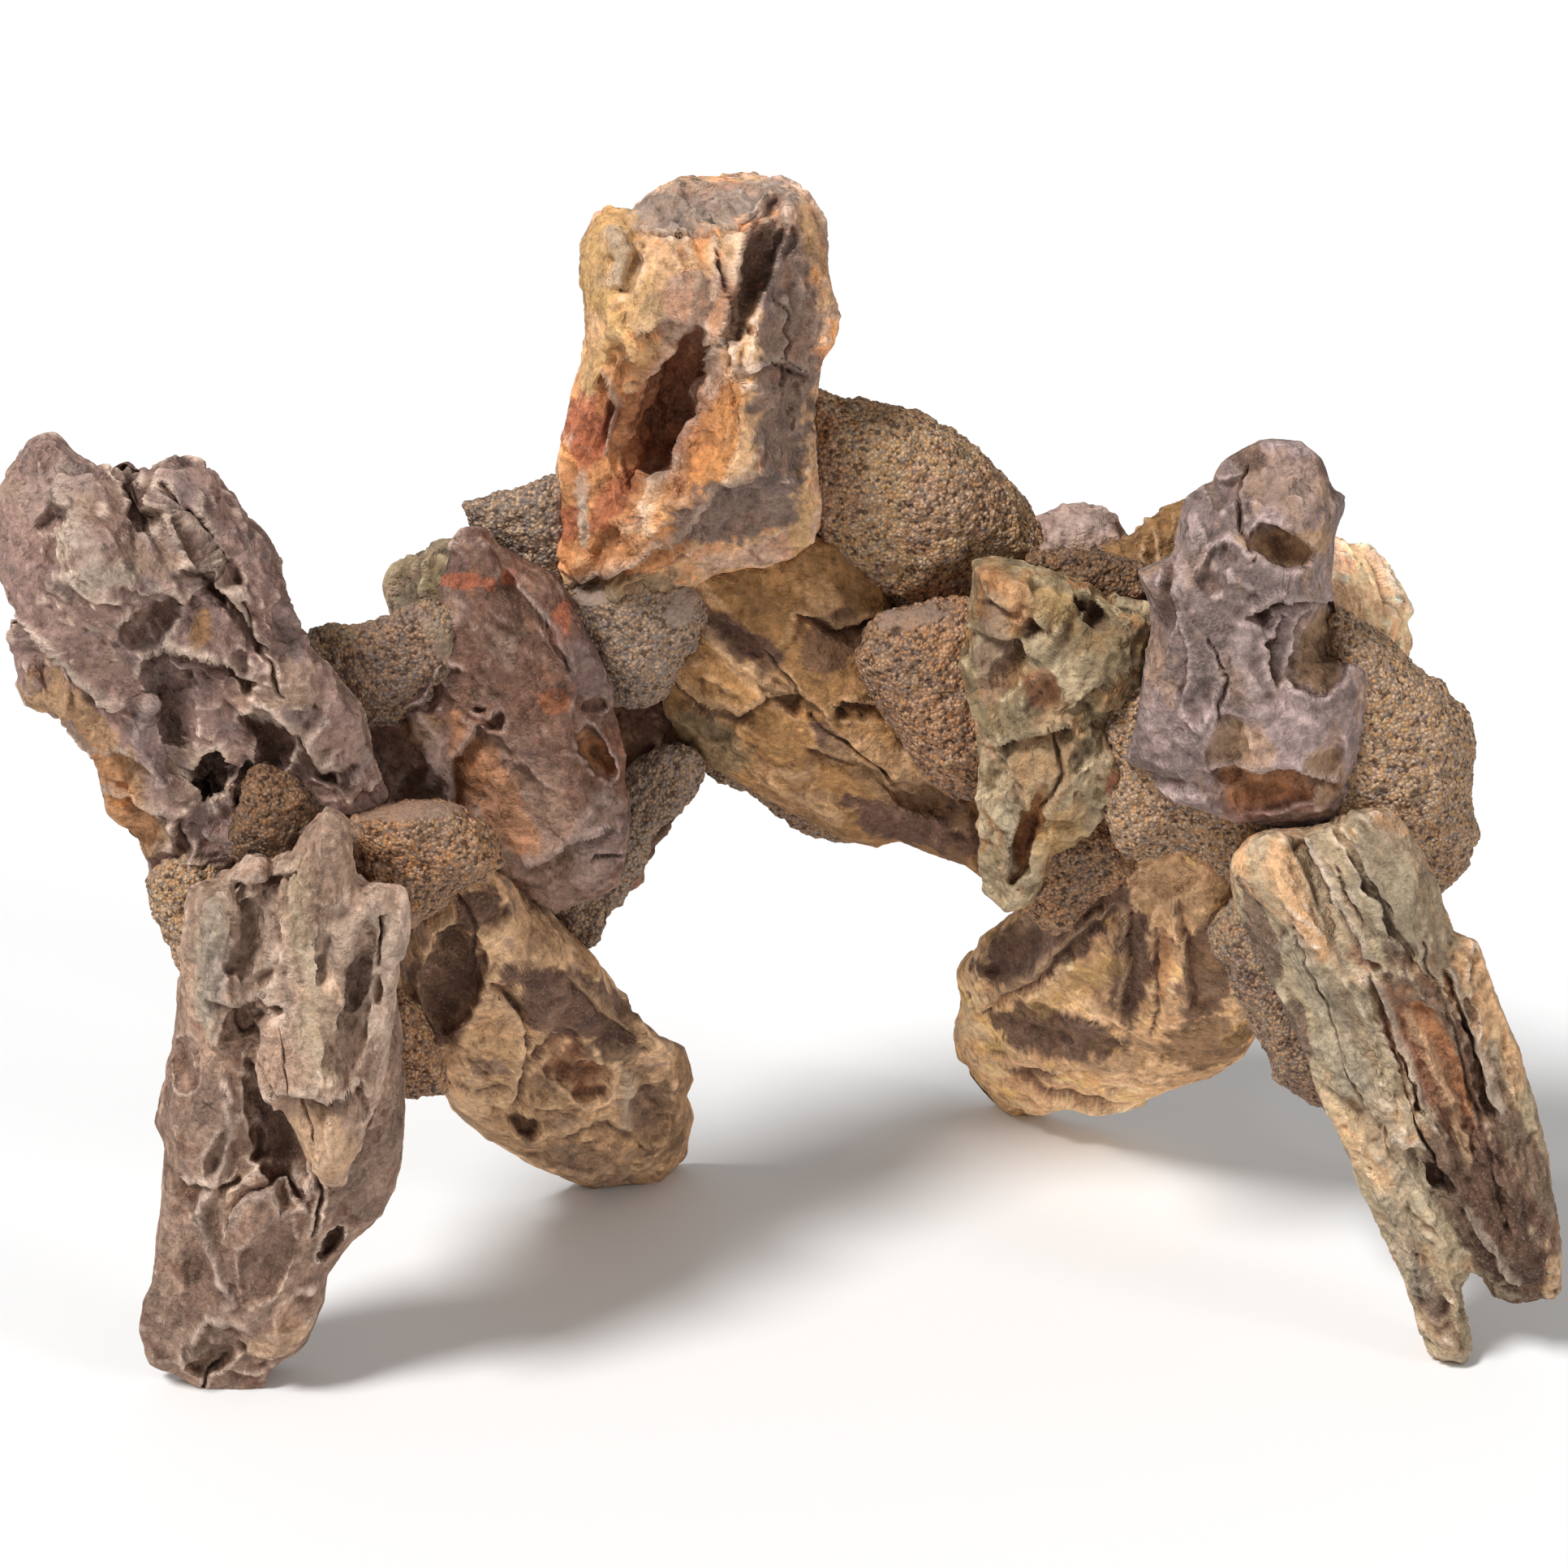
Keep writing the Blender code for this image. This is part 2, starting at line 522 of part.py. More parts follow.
class Form:
    """The shape of one piece, worked out from its drawing."""

    def __init__(self, piece):
        self.piece = piece
        self.heart = Vector(piece.heart)
        rough_depth = depth_on_plane(*piece.heart, piece.away, Vector(), 0.0, 0.0)
        self.anchor = sight_point(*piece.heart, rough_depth)
        dice = random.Random(piece.name)
        self.waves = []
        for length in WAVE_LENGTHS:
            heading = Vector([dice.uniform(-1.0, 1.0) for _ in range(3)]).normalized()
            push = Vector([dice.uniform(-1.0, 1.0) for _ in range(3)]).normalized()
            phase = dice.uniform(0.0, math.tau)
            self.waves.append((heading * (math.tau / length), push * piece.rough, phase))

    def middle(self, right, down):
        """Depth of the middle surface under a sheet point."""
        piece = self.piece
        return depth_on_plane(right, down, piece.away, self.anchor, piece.lean, piece.turn)

    def span(self, heading):
        """Distance on the sheet from the heart to the outline in a heading in degrees."""
        angle = math.radians(heading)
        probe = Vector((math.cos(angle), -math.sin(angle)))
        return 1.0 / self.reach_of(*(self.heart + probe))

    def swelling(self, reach):
        """Share of the full swelling at a reach of 0 (heart) to 1 (outline)."""
        return math.sqrt(max(0.0, 1.0 - reach ** self.piece.square))

    def reach_of(self, right, down):
        """How far out a sheet point lies, from 0 at the heart to 1 on the outline."""
        ray = Vector((right, down)) - self.heart
        best = 1.0
        points = [Vector(point) - self.heart for point in self.piece.outline]
        for start, end in zip(points, points[1:] + points[:1]):
            side = end - start
            cross = ray.x * side.y - ray.y * side.x
            if abs(cross) < 1e-9:
                continue
            along = (start.x * side.y - start.y * side.x) / cross
            share = (start.x * ray.y - start.y * ray.x) / cross
            if along > 0.0 and -1e-6 <= share <= 1.0 + 1e-6:
                best = 1.0 / along
        return min(best, 1.0)

    def level(self, right, down, size, facets):
        """Height of a skin of this size, broken by these facets, above the middle surface."""
        level = size * self.swelling(self.reach_of(right, down))
        for at_right, at_down, heading, height, fall in facets:
            angle = math.radians(heading)
            run = (right - at_right) * math.cos(angle) - (down - at_down) * math.sin(angle)
            level = min(level, height - fall * run)
        return level

    def craggy(self, point):
        """The same point, moved a little by three seeded waves."""
        moved = point.copy()
        for pace, push, phase in self.waves:
            moved += push * math.sin(pace.dot(point) + phase)
        return moved


def ring_points(form, reach, side):
    """World points of one ring of the front (side = -1) or the back (side = 1)."""
    piece = form.piece
    size = piece.front if side < 0 else piece.back
    points = []
    for right, down in piece.outline:
        at_right = form.heart.x + (right - form.heart.x) * reach
        at_down = form.heart.y + (down - form.heart.y) * reach
        height = size * form.swelling(reach)
        depth = form.middle(at_right, at_down) + side * height
        point = sight_point(at_right, at_down, depth)
        points.append(point if reach == 1.0 else form.craggy(point))
    return points


def raw_mesh(form):
    """The closed lump: rings from the front pole over the outline to the back pole."""
    piece = form.piece
    front_rings = DAB_FRONT_RINGS if piece.mortar else FRONT_RINGS
    back_rings = DAB_BACK_RINGS if piece.mortar else BACK_RINGS
    mesh = bmesh.new()
    rings = [ring_points(form, reach, -1) for reach in reversed(front_rings)]
    rings.append(ring_points(form, 1.0, -1))
    rings += [ring_points(form, reach, 1) for reach in back_rings]
    rows = [[mesh.verts.new(point * MM) for point in ring] for ring in rings]
    heart_depth = form.middle(*piece.heart)
    front_pole = mesh.verts.new(sight_point(*piece.heart, heart_depth - piece.front) * MM)
    back_pole = mesh.verts.new(sight_point(*piece.heart, heart_depth + piece.back) * MM)
    count = len(piece.outline)
    for index in range(count):
        after = (index + 1) % count
        mesh.faces.new((front_pole, rows[0][index], rows[0][after]))
        mesh.faces.new((back_pole, rows[-1][after], rows[-1][index]))
        for upper, lower in zip(rows, rows[1:]):
            mesh.faces.new((upper[index], lower[index], lower[after], upper[after]))
    face_out(mesh)
    return mesh


def face_out(mesh):
    """Turn every face of a closed mesh to the outside."""
    mesh.normal_update()
    bmesh.ops.recalc_face_normals(mesh, faces=mesh.faces)
    if mesh.calc_volume(signed=True) < 0.0:
        bmesh.ops.reverse_faces(mesh, faces=mesh.faces)


def slice_off(mesh, spot, outward):
    """Cut away all that lies beyond a plane, and close the cut."""
    cut = bmesh.ops.bisect_plane(
        mesh, geom=mesh.verts[:] + mesh.edges[:] + mesh.faces[:], dist=1e-7,
        plane_co=spot, plane_no=outward, clear_outer=True,
    )
    edges = [part for part in cut["geom_cut"] if isinstance(part, bmesh.types.BMEdge)]
    if edges:
        bmesh.ops.holes_fill(mesh, edges=edges, sides=0)


def slice_facet(mesh, form, facet, side):
    """Break one flat facet off the front (side = -1) or the back (side = 1)."""
    at_right, at_down, heading, height, fall = facet
    angle = math.radians(heading)
    spots = []
    for run, across in ((0.0, -PROBE), (0.0, PROBE), (PROBE, 0.0)):
        right = at_right + run * math.cos(angle) - across * math.sin(angle)
        down = at_down - run * math.sin(angle) - across * math.cos(angle)
        depth = form.middle(right, down) + side * (height - fall * run)
        spots.append(sight_point(right, down, depth) * MM)
    outward = (spots[1] - spots[0]).cross(spots[2] - spots[0]).normalized()
    if outward.dot(LOOK) * side < 0.0:
        outward = -outward
    slice_off(mesh, spots[0], outward)


def back_facets(form, dice):
    """Flat breaks for the hidden back, that stop short of the outline."""
    piece = form.piece
    first = dice.uniform(0.0, 360.0)
    facets = []
    for index in range(BACK_BREAKS):
        heading = first + index * 360.0 / BACK_BREAKS + dice.uniform(-BREAK_SWING, BREAK_SWING)
        height = piece.back * dice.uniform(*BREAK_AT_HEART)
        rim_height = piece.back * dice.uniform(*BREAK_AT_OUTLINE)
        fall = (height - rim_height) / form.span(heading)
        facets.append((*piece.heart, heading, height, fall))
    return facets


def back_hollows(form, dice):
    """Scoops for the back of a stone, where it is wide enough to hold them."""
    piece = form.piece
    hollows = []
    for _ in range(BACK_SCOOPS):
        heading = dice.uniform(0.0, 360.0)
        span = form.span(heading)
        if span < SMALL_STONE:
            continue
        angle = math.radians(heading)
        right = piece.heart[0] + SCOOP_REACH * span * math.cos(angle)
        down = piece.heart[1] - SCOOP_REACH * span * math.sin(angle)
        long_half = min(LONGEST_SCOOP, span * dice.uniform(*SCOOP_LENGTH))
        short_half = long_half * dice.uniform(*SCOOP_WIDTH)
        tilt = heading + dice.uniform(-SCOOP_SWING, SCOOP_SWING)
        hollows.append((right, down, long_half, short_half, tilt, dice.uniform(*SCOOP_DEPTH)))
    return hollows


def new_object(name, mesh):
    """An object in the scene, made from a finished bmesh."""
    bmesh.ops.triangulate(mesh, faces=mesh.faces)
    data = bpy.data.meshes.new(name)
    mesh.to_mesh(data)
    mesh.free()
    obj = bpy.data.objects.new(name, data)
    bpy.context.scene.collection.objects.link(obj)
    return obj


def hollow_tool(form, hollow, side, level):
    """The ellipsoid that scoops one hollow out of the skin at a level above the middle."""
    right, down, long_half, short_half, heading, deep = hollow
    spot = sight_point(right, down, form.middle(right, down) + side * level)
    angle = math.radians(heading)
    along = Vector((1.0, 0.0, 0.0)) * math.cos(angle) + SHEET_UP * math.sin(angle)
    across = LOOK.cross(along)
    axes = Matrix((along * long_half, across * short_half, LOOK * deep)).transposed()
    mesh = bmesh.new()
    rounds = 2 if long_half * short_half > LARGE_HOLLOW else 1
    bmesh.ops.create_icosphere(mesh, subdivisions=rounds, radius=SCOOP_MARGIN)
    for vertex in mesh.verts:
        vertex.co = (spot + axes @ vertex.co) * MM
    face_out(mesh)
    return new_object(form.piece.name + "_scoop", mesh)


def grown_copy(obj):
    """A slightly larger copy of a finished piece, that leaves a joint of even width round it."""
    mesh = bmesh.new()
    mesh.from_mesh(obj.data)
    mesh.normal_update()
    moves = []
    for vertex in mesh.verts:
        width = CLEARANCE * MM * min(vertex.calc_shell_factor(), SHARPEST_CORNER)
        moves.append((vertex, vertex.normal * width))
    for vertex, move in moves:
        vertex.co += move
    return new_object(obj.name + "_socket", mesh)


def take_away(obj, tools):
    """Boolean difference of the piece and each tool in turn; each tool is removed afterwards."""
    for tool in tools:
        tool.hide_render = True
        tool.display_type = "WIRE"
        cut = obj.modifiers.new("cut", "BOOLEAN")
        cut.operation = "DIFFERENCE"
        cut.solver = "EXACT"
        cut.object = tool
        graph = bpy.context.evaluated_depsgraph_get()
        mesh = bmesh.new()
        mesh.from_mesh(obj.evaluated_get(graph).data)
        bmesh.ops.triangulate(mesh, faces=mesh.faces)
        obj.modifiers.clear()
        mesh.to_mesh(obj.data)
        mesh.free()
        bpy.data.objects.remove(tool, do_unlink=True)


def bodies_of(mesh):
    """The connected bodies of a mesh as lists of vertices, the largest first."""
    unseen = set(mesh.verts)
    bodies = []
    while unseen:
        body = []
        front = [unseen.pop()]
        while front:
            vertex = front.pop()
            body.append(vertex)
            for edge in vertex.link_edges:
                other = edge.other_vert(vertex)
                if other in unseen:
                    unseen.discard(other)
                    front.append(other)
        bodies.append(body)
    bodies.sort(key=len, reverse=True)
    return bodies


def keep_main_body(obj):
    """Drop the splinters that the joints cut loose and the shortest edges, if it stays closed."""
    for shortest in SMALLEST_EDGES:
        mesh = bmesh.new()
        mesh.from_mesh(obj.data)
        if shortest:
            bmesh.ops.dissolve_degenerate(mesh, edges=mesh.edges, dist=shortest * MM)
        for body in bodies_of(mesh)[1:]:
            bmesh.ops.delete(mesh, geom=body, context="VERTS")
        bmesh.ops.triangulate(mesh, faces=mesh.faces)
        if all(len(edge.link_faces) == 2 for edge in mesh.edges):
            break
    mesh.to_mesh(obj.data)
    mesh.free()


def boxes_meet(first, second):
    """Whether the boxes of two pieces come within the joint's width of each other."""
    for axis in range(3):
        own = [vertex.co[axis] for vertex in first.data.vertices]
        other = [vertex.co[axis] for vertex in second.data.vertices]
        if min(own) > max(other) + 2 * CLEARANCE * MM:
            return False
        if min(other) > max(own) + 2 * CLEARANCE * MM:
            return False
    return True


def dress(obj, piece):
    """Give the piece its own plain material."""
    material = bpy.data.materials.new(piece.name)
    material.use_nodes = True
    shader = material.node_tree.nodes["Principled BSDF"]
    shader.inputs["Base Color"].default_value = (*piece.colour, 1.0)
    shader.inputs["Roughness"].default_value = MORTAR_ROUGHNESS if piece.mortar else STONE_ROUGHNESS
    obj.data.materials.clear()
    obj.data.materials.append(material)


def build_piece(piece, finished):
    """Model one piece and let it into those that stand before it."""
    form = Form(piece)
    dice = random.Random(piece.name + " back")
    mesh = raw_mesh(form)
    for facet in piece.facets:
        slice_facet(mesh, form, facet, -1)
    rear = [] if piece.mortar else back_facets(form, dice)
    for facet in rear:
        slice_facet(mesh, form, facet, 1)
    slice_off(mesh, Vector((0.0, 0.0, 0.0)), Vector((0.0, 0.0, -1.0)))
    obj = new_object(piece.name, mesh)
    tools = []
    for hollow in piece.hollows:
        tools.append(hollow_tool(form, hollow, -1, form.level(*hollow[:2], piece.front, piece.facets)))
    for hollow in ([] if piece.mortar else back_hollows(form, dice)):
        tools.append(hollow_tool(form, hollow, 1, form.level(*hollow[:2], piece.back, rear)))
    tools += [grown_copy(other) for other in finished if boxes_meet(obj, other)]
    take_away(obj, tools)
    keep_main_body(obj)
    dress(obj, piece)
    return obj


def stand_on_origin(pieces):
    """Hang every piece on one empty that sets the arch's box over the origin."""
    points = [vertex.co for obj in pieces for vertex in obj.data.vertices]
    middles = [
        (min(point[axis] for point in points) + max(point[axis] for point in points)) / 2.0
        for axis in range(2)
    ]
    stand = bpy.data.objects.new("arch_origin", None)
    bpy.context.scene.collection.objects.link(stand)
    stand.location = (-middles[0], -middles[1], 0.0)
    for obj in pieces:
        obj.parent = stand


def main():
    """Build the whole arch."""
    clear_scene()
    finished = []
    for piece in PIECES:
        finished.append(build_piece(piece, finished))
    stand_on_origin(finished)


main()
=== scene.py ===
"""Looks of an aquarium arch: rough dragon stones bonded with dabs of sand-coated mortar.

All stones and dabs are drawn in millimetres on a square drawing sheet that faces a person who
looks slightly down at the arch. Each piece becomes one closed skin: a square grid is wrapped over
its front and another over its back, the two meet on the outline, and named ledges, hollows,
cracks and stains are worked into it before seeded fracture and grit finish the surface.
"""

from __future__ import annotations

import logging
import math
import random
import zlib
from dataclasses import dataclass, fields, replace
from enum import Enum

import bpy
import numpy as np
from mathutils import Matrix, Vector

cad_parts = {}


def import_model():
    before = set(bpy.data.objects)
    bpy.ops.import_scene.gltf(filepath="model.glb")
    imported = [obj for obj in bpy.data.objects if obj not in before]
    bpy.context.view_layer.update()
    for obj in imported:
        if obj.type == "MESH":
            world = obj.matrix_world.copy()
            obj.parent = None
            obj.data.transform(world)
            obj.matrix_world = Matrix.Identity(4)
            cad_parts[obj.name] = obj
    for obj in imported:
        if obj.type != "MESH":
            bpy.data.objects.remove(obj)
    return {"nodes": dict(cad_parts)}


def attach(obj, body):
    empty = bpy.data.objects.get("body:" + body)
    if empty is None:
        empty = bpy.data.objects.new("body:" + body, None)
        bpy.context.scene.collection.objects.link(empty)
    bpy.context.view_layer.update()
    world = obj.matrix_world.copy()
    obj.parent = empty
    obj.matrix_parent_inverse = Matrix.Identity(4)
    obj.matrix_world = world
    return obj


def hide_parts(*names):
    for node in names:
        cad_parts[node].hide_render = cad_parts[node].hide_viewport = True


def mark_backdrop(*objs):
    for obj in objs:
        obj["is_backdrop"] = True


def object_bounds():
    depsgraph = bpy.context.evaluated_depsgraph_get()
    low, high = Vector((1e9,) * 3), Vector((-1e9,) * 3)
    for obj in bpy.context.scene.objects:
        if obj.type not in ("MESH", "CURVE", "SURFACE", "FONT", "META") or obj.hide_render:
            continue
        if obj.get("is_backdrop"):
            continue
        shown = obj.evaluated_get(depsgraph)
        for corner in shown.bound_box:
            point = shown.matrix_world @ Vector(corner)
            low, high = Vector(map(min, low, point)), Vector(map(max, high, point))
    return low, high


LOG = logging.getLogger("dragon_stone_arch")
MM = 0.001
Spot = tuple[float, float]
Path = tuple[Spot, ...]
Socket = bpy.types.NodeSocket
DULL_SHEEN = 0.3


class Tone(Enum):
    """Body colours of the stones and of the mortar, as linear red, green and blue."""

    BEIGE = (0.48, 0.357, 0.281)
    CREAM = (0.576, 0.456, 0.348)
    PALE_MAUVE = (0.4, 0.281, 0.237)
    MAUVE = (0.24, 0.148, 0.122)
    DEEP_MAUVE = (0.136, 0.076, 0.0607)
    LILAC = (0.288, 0.205, 0.189)
    PALE_LILAC = (0.464, 0.342, 0.307)
    SLATE = (0.176, 0.125, 0.111)
    GREY = (0.304, 0.243, 0.215)
    PINK_BROWN = (0.36, 0.228, 0.159)
    PALE_PINK = (0.496, 0.365, 0.281)
    TAUPE = (0.248, 0.16, 0.115)
    UMBER = (0.084, 0.0418, 0.0259)
    # Near-black: painted shade in deep holes and creases, and the darkest patches of the inner stone in the
    # shade.
    SOOT = (0.036, 0.0182, 0.0118)
    PURPLE_BROWN = (0.115, 0.058, 0.044)
    DARK_RUST = (0.148, 0.0745, 0.0488)
    RUST = (0.288, 0.0988, 0.0407)
    RED = (0.4, 0.118, 0.0555)
    ORANGE = (0.56, 0.228, 0.0814)
    BRIGHT_ORANGE = (0.72, 0.304, 0.0962)
    YELLOW = (0.592, 0.35, 0.126)
    TAN = (0.46, 0.27, 0.14)
    PALE_TAN = (0.61, 0.385, 0.22)
    OCHRE = (0.3, 0.154, 0.058)
    DARK_OCHRE = (0.16, 0.0798, 0.0355)
    OLIVE = (0.216, 0.156, 0.0851)
    PALE_OLIVE = (0.4, 0.304, 0.189)
    GREEN_GREY = (0.272, 0.213, 0.144)
    PALE_GREEN = (0.4, 0.334, 0.244)
    SAND_LIGHT = (0.56, 0.38, 0.25)
    SAND = (0.42, 0.27, 0.17)
    SAND_WARM = (0.52, 0.30, 0.15)
    SAND_GREY = (0.30, 0.225, 0.18)
    SAND_DARK = (0.15, 0.092, 0.06)
    BARE = (0.34, 0.25, 0.195)

    @property
    def rgb(self) -> np.ndarray:
        """The tone as an array of three numbers."""
        return np.array(self.value)


@dataclass(frozen=True)
class Sheet:
    """The drawing sheet and the eye that looks through it, in millimetres."""

    middle: float = 193.2
    width: float = 386.4
    eye_distance: float = 1000.0
    look_down: float = math.radians(24.0)
    aim_height: float = 135.0

    @property
    def look(self) -> np.ndarray:
        """Unit vector from the eye into the sheet."""
        return np.array((0.0, math.cos(self.look_down), -math.sin(self.look_down)))

    @property
    def upward(self) -> np.ndarray:
        """Unit vector that runs up the sheet."""
        return np.array((0.0, math.sin(self.look_down), math.cos(self.look_down)))

    def place(self, spots: np.ndarray, depth: np.ndarray) -> np.ndarray:
        """Points in space on the lines of sight through spots of the sheet.

        Across and up grow with the depth past the sheet, as lines of sight spread from the eye.

        Args:
            spots: (right, down) on the sheet, one row each.
            depth: distance past the sheet along the middle line of sight.

        Returns:
            One row (x, y, z) for each spot.
        """
        spread = 1.0 + depth / self.eye_distance
        across = (spots[:, 0] - self.middle) * spread
        up = (self.middle - spots[:, 1]) * spread
        points = depth[:, None] * self.look + up[:, None] * self.upward
        points[:, 0] += across
        points[:, 2] += self.aim_height
        return points

    def depth_on_plane(
        self, spots: np.ndarray, away: float, anchor: np.ndarray, lean: float, turn: float
    ) -> np.ndarray:
        """Depth at which lines of sight meet the plane y = away + lean (z - z0) + turn (x - x0).

        Args:
            spots: (right, down) on the sheet, one row each.
            away: y of the plane at the anchor.
            anchor: the point (x0, y0, z0) about which the plane leans and turns.
            lean: change of y with height.
            turn: change of y to the right.

        Returns:
            One depth for each spot.
        """
        across = spots[:, 0] - self.middle
        up = self.middle - spots[:, 1]
        sine, cosine = math.sin(self.look_down), math.cos(self.look_down)
        near = up * sine - away
        near = near - lean * (self.aim_height + up * cosine - anchor[2]) - turn * (across - anchor[0])
        pace = cosine + up * sine / self.eye_distance
        pace = pace - lean * (-sine + up * cosine / self.eye_distance)
        pace = pace - turn * across / self.eye_distance
        return -near / pace


SHEET = Sheet()


def scatter(cells: np.ndarray, salt: int) -> np.ndarray:
    """Three seeded random numbers for each cell of a whole-number lattice.

    The lattice numbers are multiplied by odd constants, mixed with shifts, and the bits of the
    result are read as three numbers of ten bits.

    Args:
        cells: whole lattice positions, one row (i, j, k) each.
        salt: which family of random numbers.

    Returns:
        One row of three numbers from 0 to 1 for each cell.
    """
    whole = cells.astype(np.int64).astype(np.uint32)
    mix = whole[:, 0] * np.uint32(0x9E3779B1)
    mix ^= whole[:, 1] * np.uint32(0x85EBCA77)
    mix ^= whole[:, 2] * np.uint32(0xC2B2AE3D)
    mix ^= np.uint32((salt * 0x27D4EB2F) & 0xFFFFFFFF)
    for shift, factor in ((15, 0x2C1B3C6D), (12, 0x297A2D39), (15, 0x9E3779B1)):
        mix ^= mix >> np.uint32(shift)
        mix *= np.uint32(factor)
    mix ^= mix >> np.uint32(16)
    parts = [(mix >> np.uint32(bits)) & np.uint32(1023) for bits in (0, 10, 20)]
    return np.stack(parts, axis=1) / 1023.0


def waves(points: np.ndarray, size: float, salt: int, octaves: int = 3, gain: float = 0.5) -> np.ndarray:
    """Gradient noise: random slopes at lattice corners, blended smoothly, in halving sizes.

    Args:
        points: positions, one row each.
        size: lattice width of the widest waves.
        salt: which family of random numbers.
        octaves: how many sizes are added up.
        gain: share of each size's height that the next one has.

    Returns:
        One number for each point, mostly from -1 to 1.
    """
    total = np.zeros(len(points))
    height, reach = 1.0, 0.0
    for octave in range(octaves):
        spot = points / size * 2.03**octave + 17.3 * octave
        base = np.floor(spot)
        inner = spot - base
        ease = inner**3 * (inner * (inner * 6.0 - 15.0) + 10.0)
        level = np.zeros(len(points))
        for corner in np.ndindex(2, 2, 2):
            step = np.array(corner)
            slope = scatter(base + step, salt + octave) * 2.0 - 1.0
            share = np.prod(np.where(step == 1, ease, 1.0 - ease), axis=1)
            level += share * np.sum(slope * (inner - step), axis=1)
        total += level * height * 1.7
        reach += height
        height *= gain
    return total / reach


def scallops(
    points: np.ndarray, size: float, salt: int, bowl: float = 0.8, tilt: float = 1.1
) -> tuple[np.ndarray, np.ndarray]:
    """Shallow bowls side by side with sharp ridges between them.

    Every lattice cell holds one tilted bowl, bowl d squared + tilt slope d + height with d the
    distance from its middle, and the lowest bowl wins.

    Args:
        points: positions, one row each.
        size: lattice width.
        salt: which family of random numbers.
        bowl: how deeply the bowls curve.
        tilt: how far they lean.

    Returns:
        A height for each point, about 0 in a bowl's middle and up to 0.8 on a ridge, and a
        random number from 0 to 1 that is the same all over a bowl.
    """
    spot = points / size
    base = np.floor(spot)
    lowest = np.full(len(points), 9.0)
    pick = np.zeros(len(points))
    for corner in np.ndindex(3, 3, 3):
        cell = base + (np.array(corner) - 1.0)
        middle = scatter(cell, salt)
        slope = scatter(cell, salt + 101)
        apart = spot - cell - 0.1 - 0.8 * middle
        level = bowl * np.sum(apart**2, axis=1) + tilt * np.sum((slope - 0.5) * apart, axis=1)
        level += 0.3 * middle[:, 1]
        pick = np.where(level < lowest, slope[:, 2], pick)
        lowest = np.minimum(lowest, level)
    return lowest, pick


def plates(
    points: np.ndarray, size: float, salt: int, tilt: float = 1.6, sharpness: float = 20.0
) -> tuple[np.ndarray, np.ndarray]:
    """Tilted flat plates with broken steps between them.

    Every lattice cell holds one plate, height + tilt slope d with d the distance from its
    middle. The plates are mixed by exp(-sharpness d squared), so that the nearest one counts
    but for a narrow band at its edge.

    Args:
        points: positions, one row each.
        size: lattice width.
        salt: which family of random numbers.
        tilt: how far the plates lean.
        sharpness: how narrow the bands between the plates are.

    Returns:
        A height for each point, mostly from -0.7 to 0.7, and a random number from 0 to 1 that is
        the same all over a plate.
    """
    spot = points / size
    base = np.floor(spot)
    total, height, pick = np.zeros(len(points)), np.zeros(len(points)), np.zeros(len(points))
    for corner in np.ndindex(3, 3, 3):
        cell = base + (np.array(corner) - 1.0)
        middle = scatter(cell, salt)
        slope = scatter(cell, salt + 101)
        apart = spot - cell - 0.1 - 0.8 * middle
        level = tilt * np.sum((slope - 0.5) * apart, axis=1) + 0.9 * (middle[:, 1] - 0.5)
        weight = np.exp(-sharpness * np.sum(apart**2, axis=1))
        total += weight
        height += weight * level
        pick += weight * slope[:, 2]
    total = np.maximum(total, 1e-30)
    return height / total, pick / total


def stretched(points: np.ndarray, along: np.ndarray, factor: float) -> np.ndarray:
    """Positions squeezed along a direction, so that a pattern on them runs long that way.

    Args:
        points: positions, one row each.
        along: unit vector of the long direction.
        factor: how much longer the pattern gets.

    Returns:
        The squeezed positions.
    """
    reach = points @ along
    return points - np.outer(reach * (1.0 - 1.0 / factor), along)


def ramp(value: np.ndarray, low: float, high: float) -> np.ndarray:
    """A smooth rise from 0 at low to 1 at high."""
    share = np.clip((value - low) / (high - low), 0.0, 1.0)
    return share * share * (3.0 - 2.0 * share)


def soft_lower(first: np.ndarray, second: np.ndarray, width: float) -> np.ndarray:
    """The lower of two heights, with the crease between them rounded over a width."""
    share = np.clip(0.5 + 0.5 * (second - first) / width, 0.0, 1.0)
    return second + (first - second) * share - width * share * (1.0 - share)


def blended(under: np.ndarray, over: np.ndarray, share: np.ndarray) -> np.ndarray:
    """Colours laid over other colours by a share from 0 to 1 for each row."""
    return under + (over - under) * np.clip(share, 0.0, 1.0)[:, None]


def path_distance(spots: np.ndarray, path: Path) -> tuple[np.ndarray, np.ndarray]:
    """Signed distance of spots from a path, and how far along the path each one lies.

    The nearest stretch of the path counts. The sign is positive on the right-hand side of
    somebody who walks along the path on the sheet.

    Args:
        spots: (right, down) on the sheet, one row each.
        path: the corners of the path.

    Returns:
        The signed distances, and the shares from 0 at the path's start to 1 at its end.
    """
    corners = np.array(path, float)
    steps = np.diff(corners, axis=0)
    lengths = np.hypot(steps[:, 0], steps[:, 1])
    starts = np.concatenate(([0.0], np.cumsum(lengths)))
    nearest = np.full(len(spots), 1e9)
    side = np.ones(len(spots))
    share = np.zeros(len(spots))
    for index, step in enumerate(steps):
        ray = spots - corners[index]
        run = np.clip(ray @ step / lengths[index] ** 2, 0.0, 1.0)
        gap = ray - run[:, None] * step
        distance = np.hypot(gap[:, 0], gap[:, 1])
        closer = distance < nearest
        nearest = np.where(closer, distance, nearest)
        turn = step[0] * ray[:, 1] - step[1] * ray[:, 0]
        side = np.where(closer, np.where(turn >= 0.0, 1.0, -1.0), side)
        share = np.where(closer, (starts[index] + run * lengths[index]) / starts[-1], share)
    return nearest * side, share


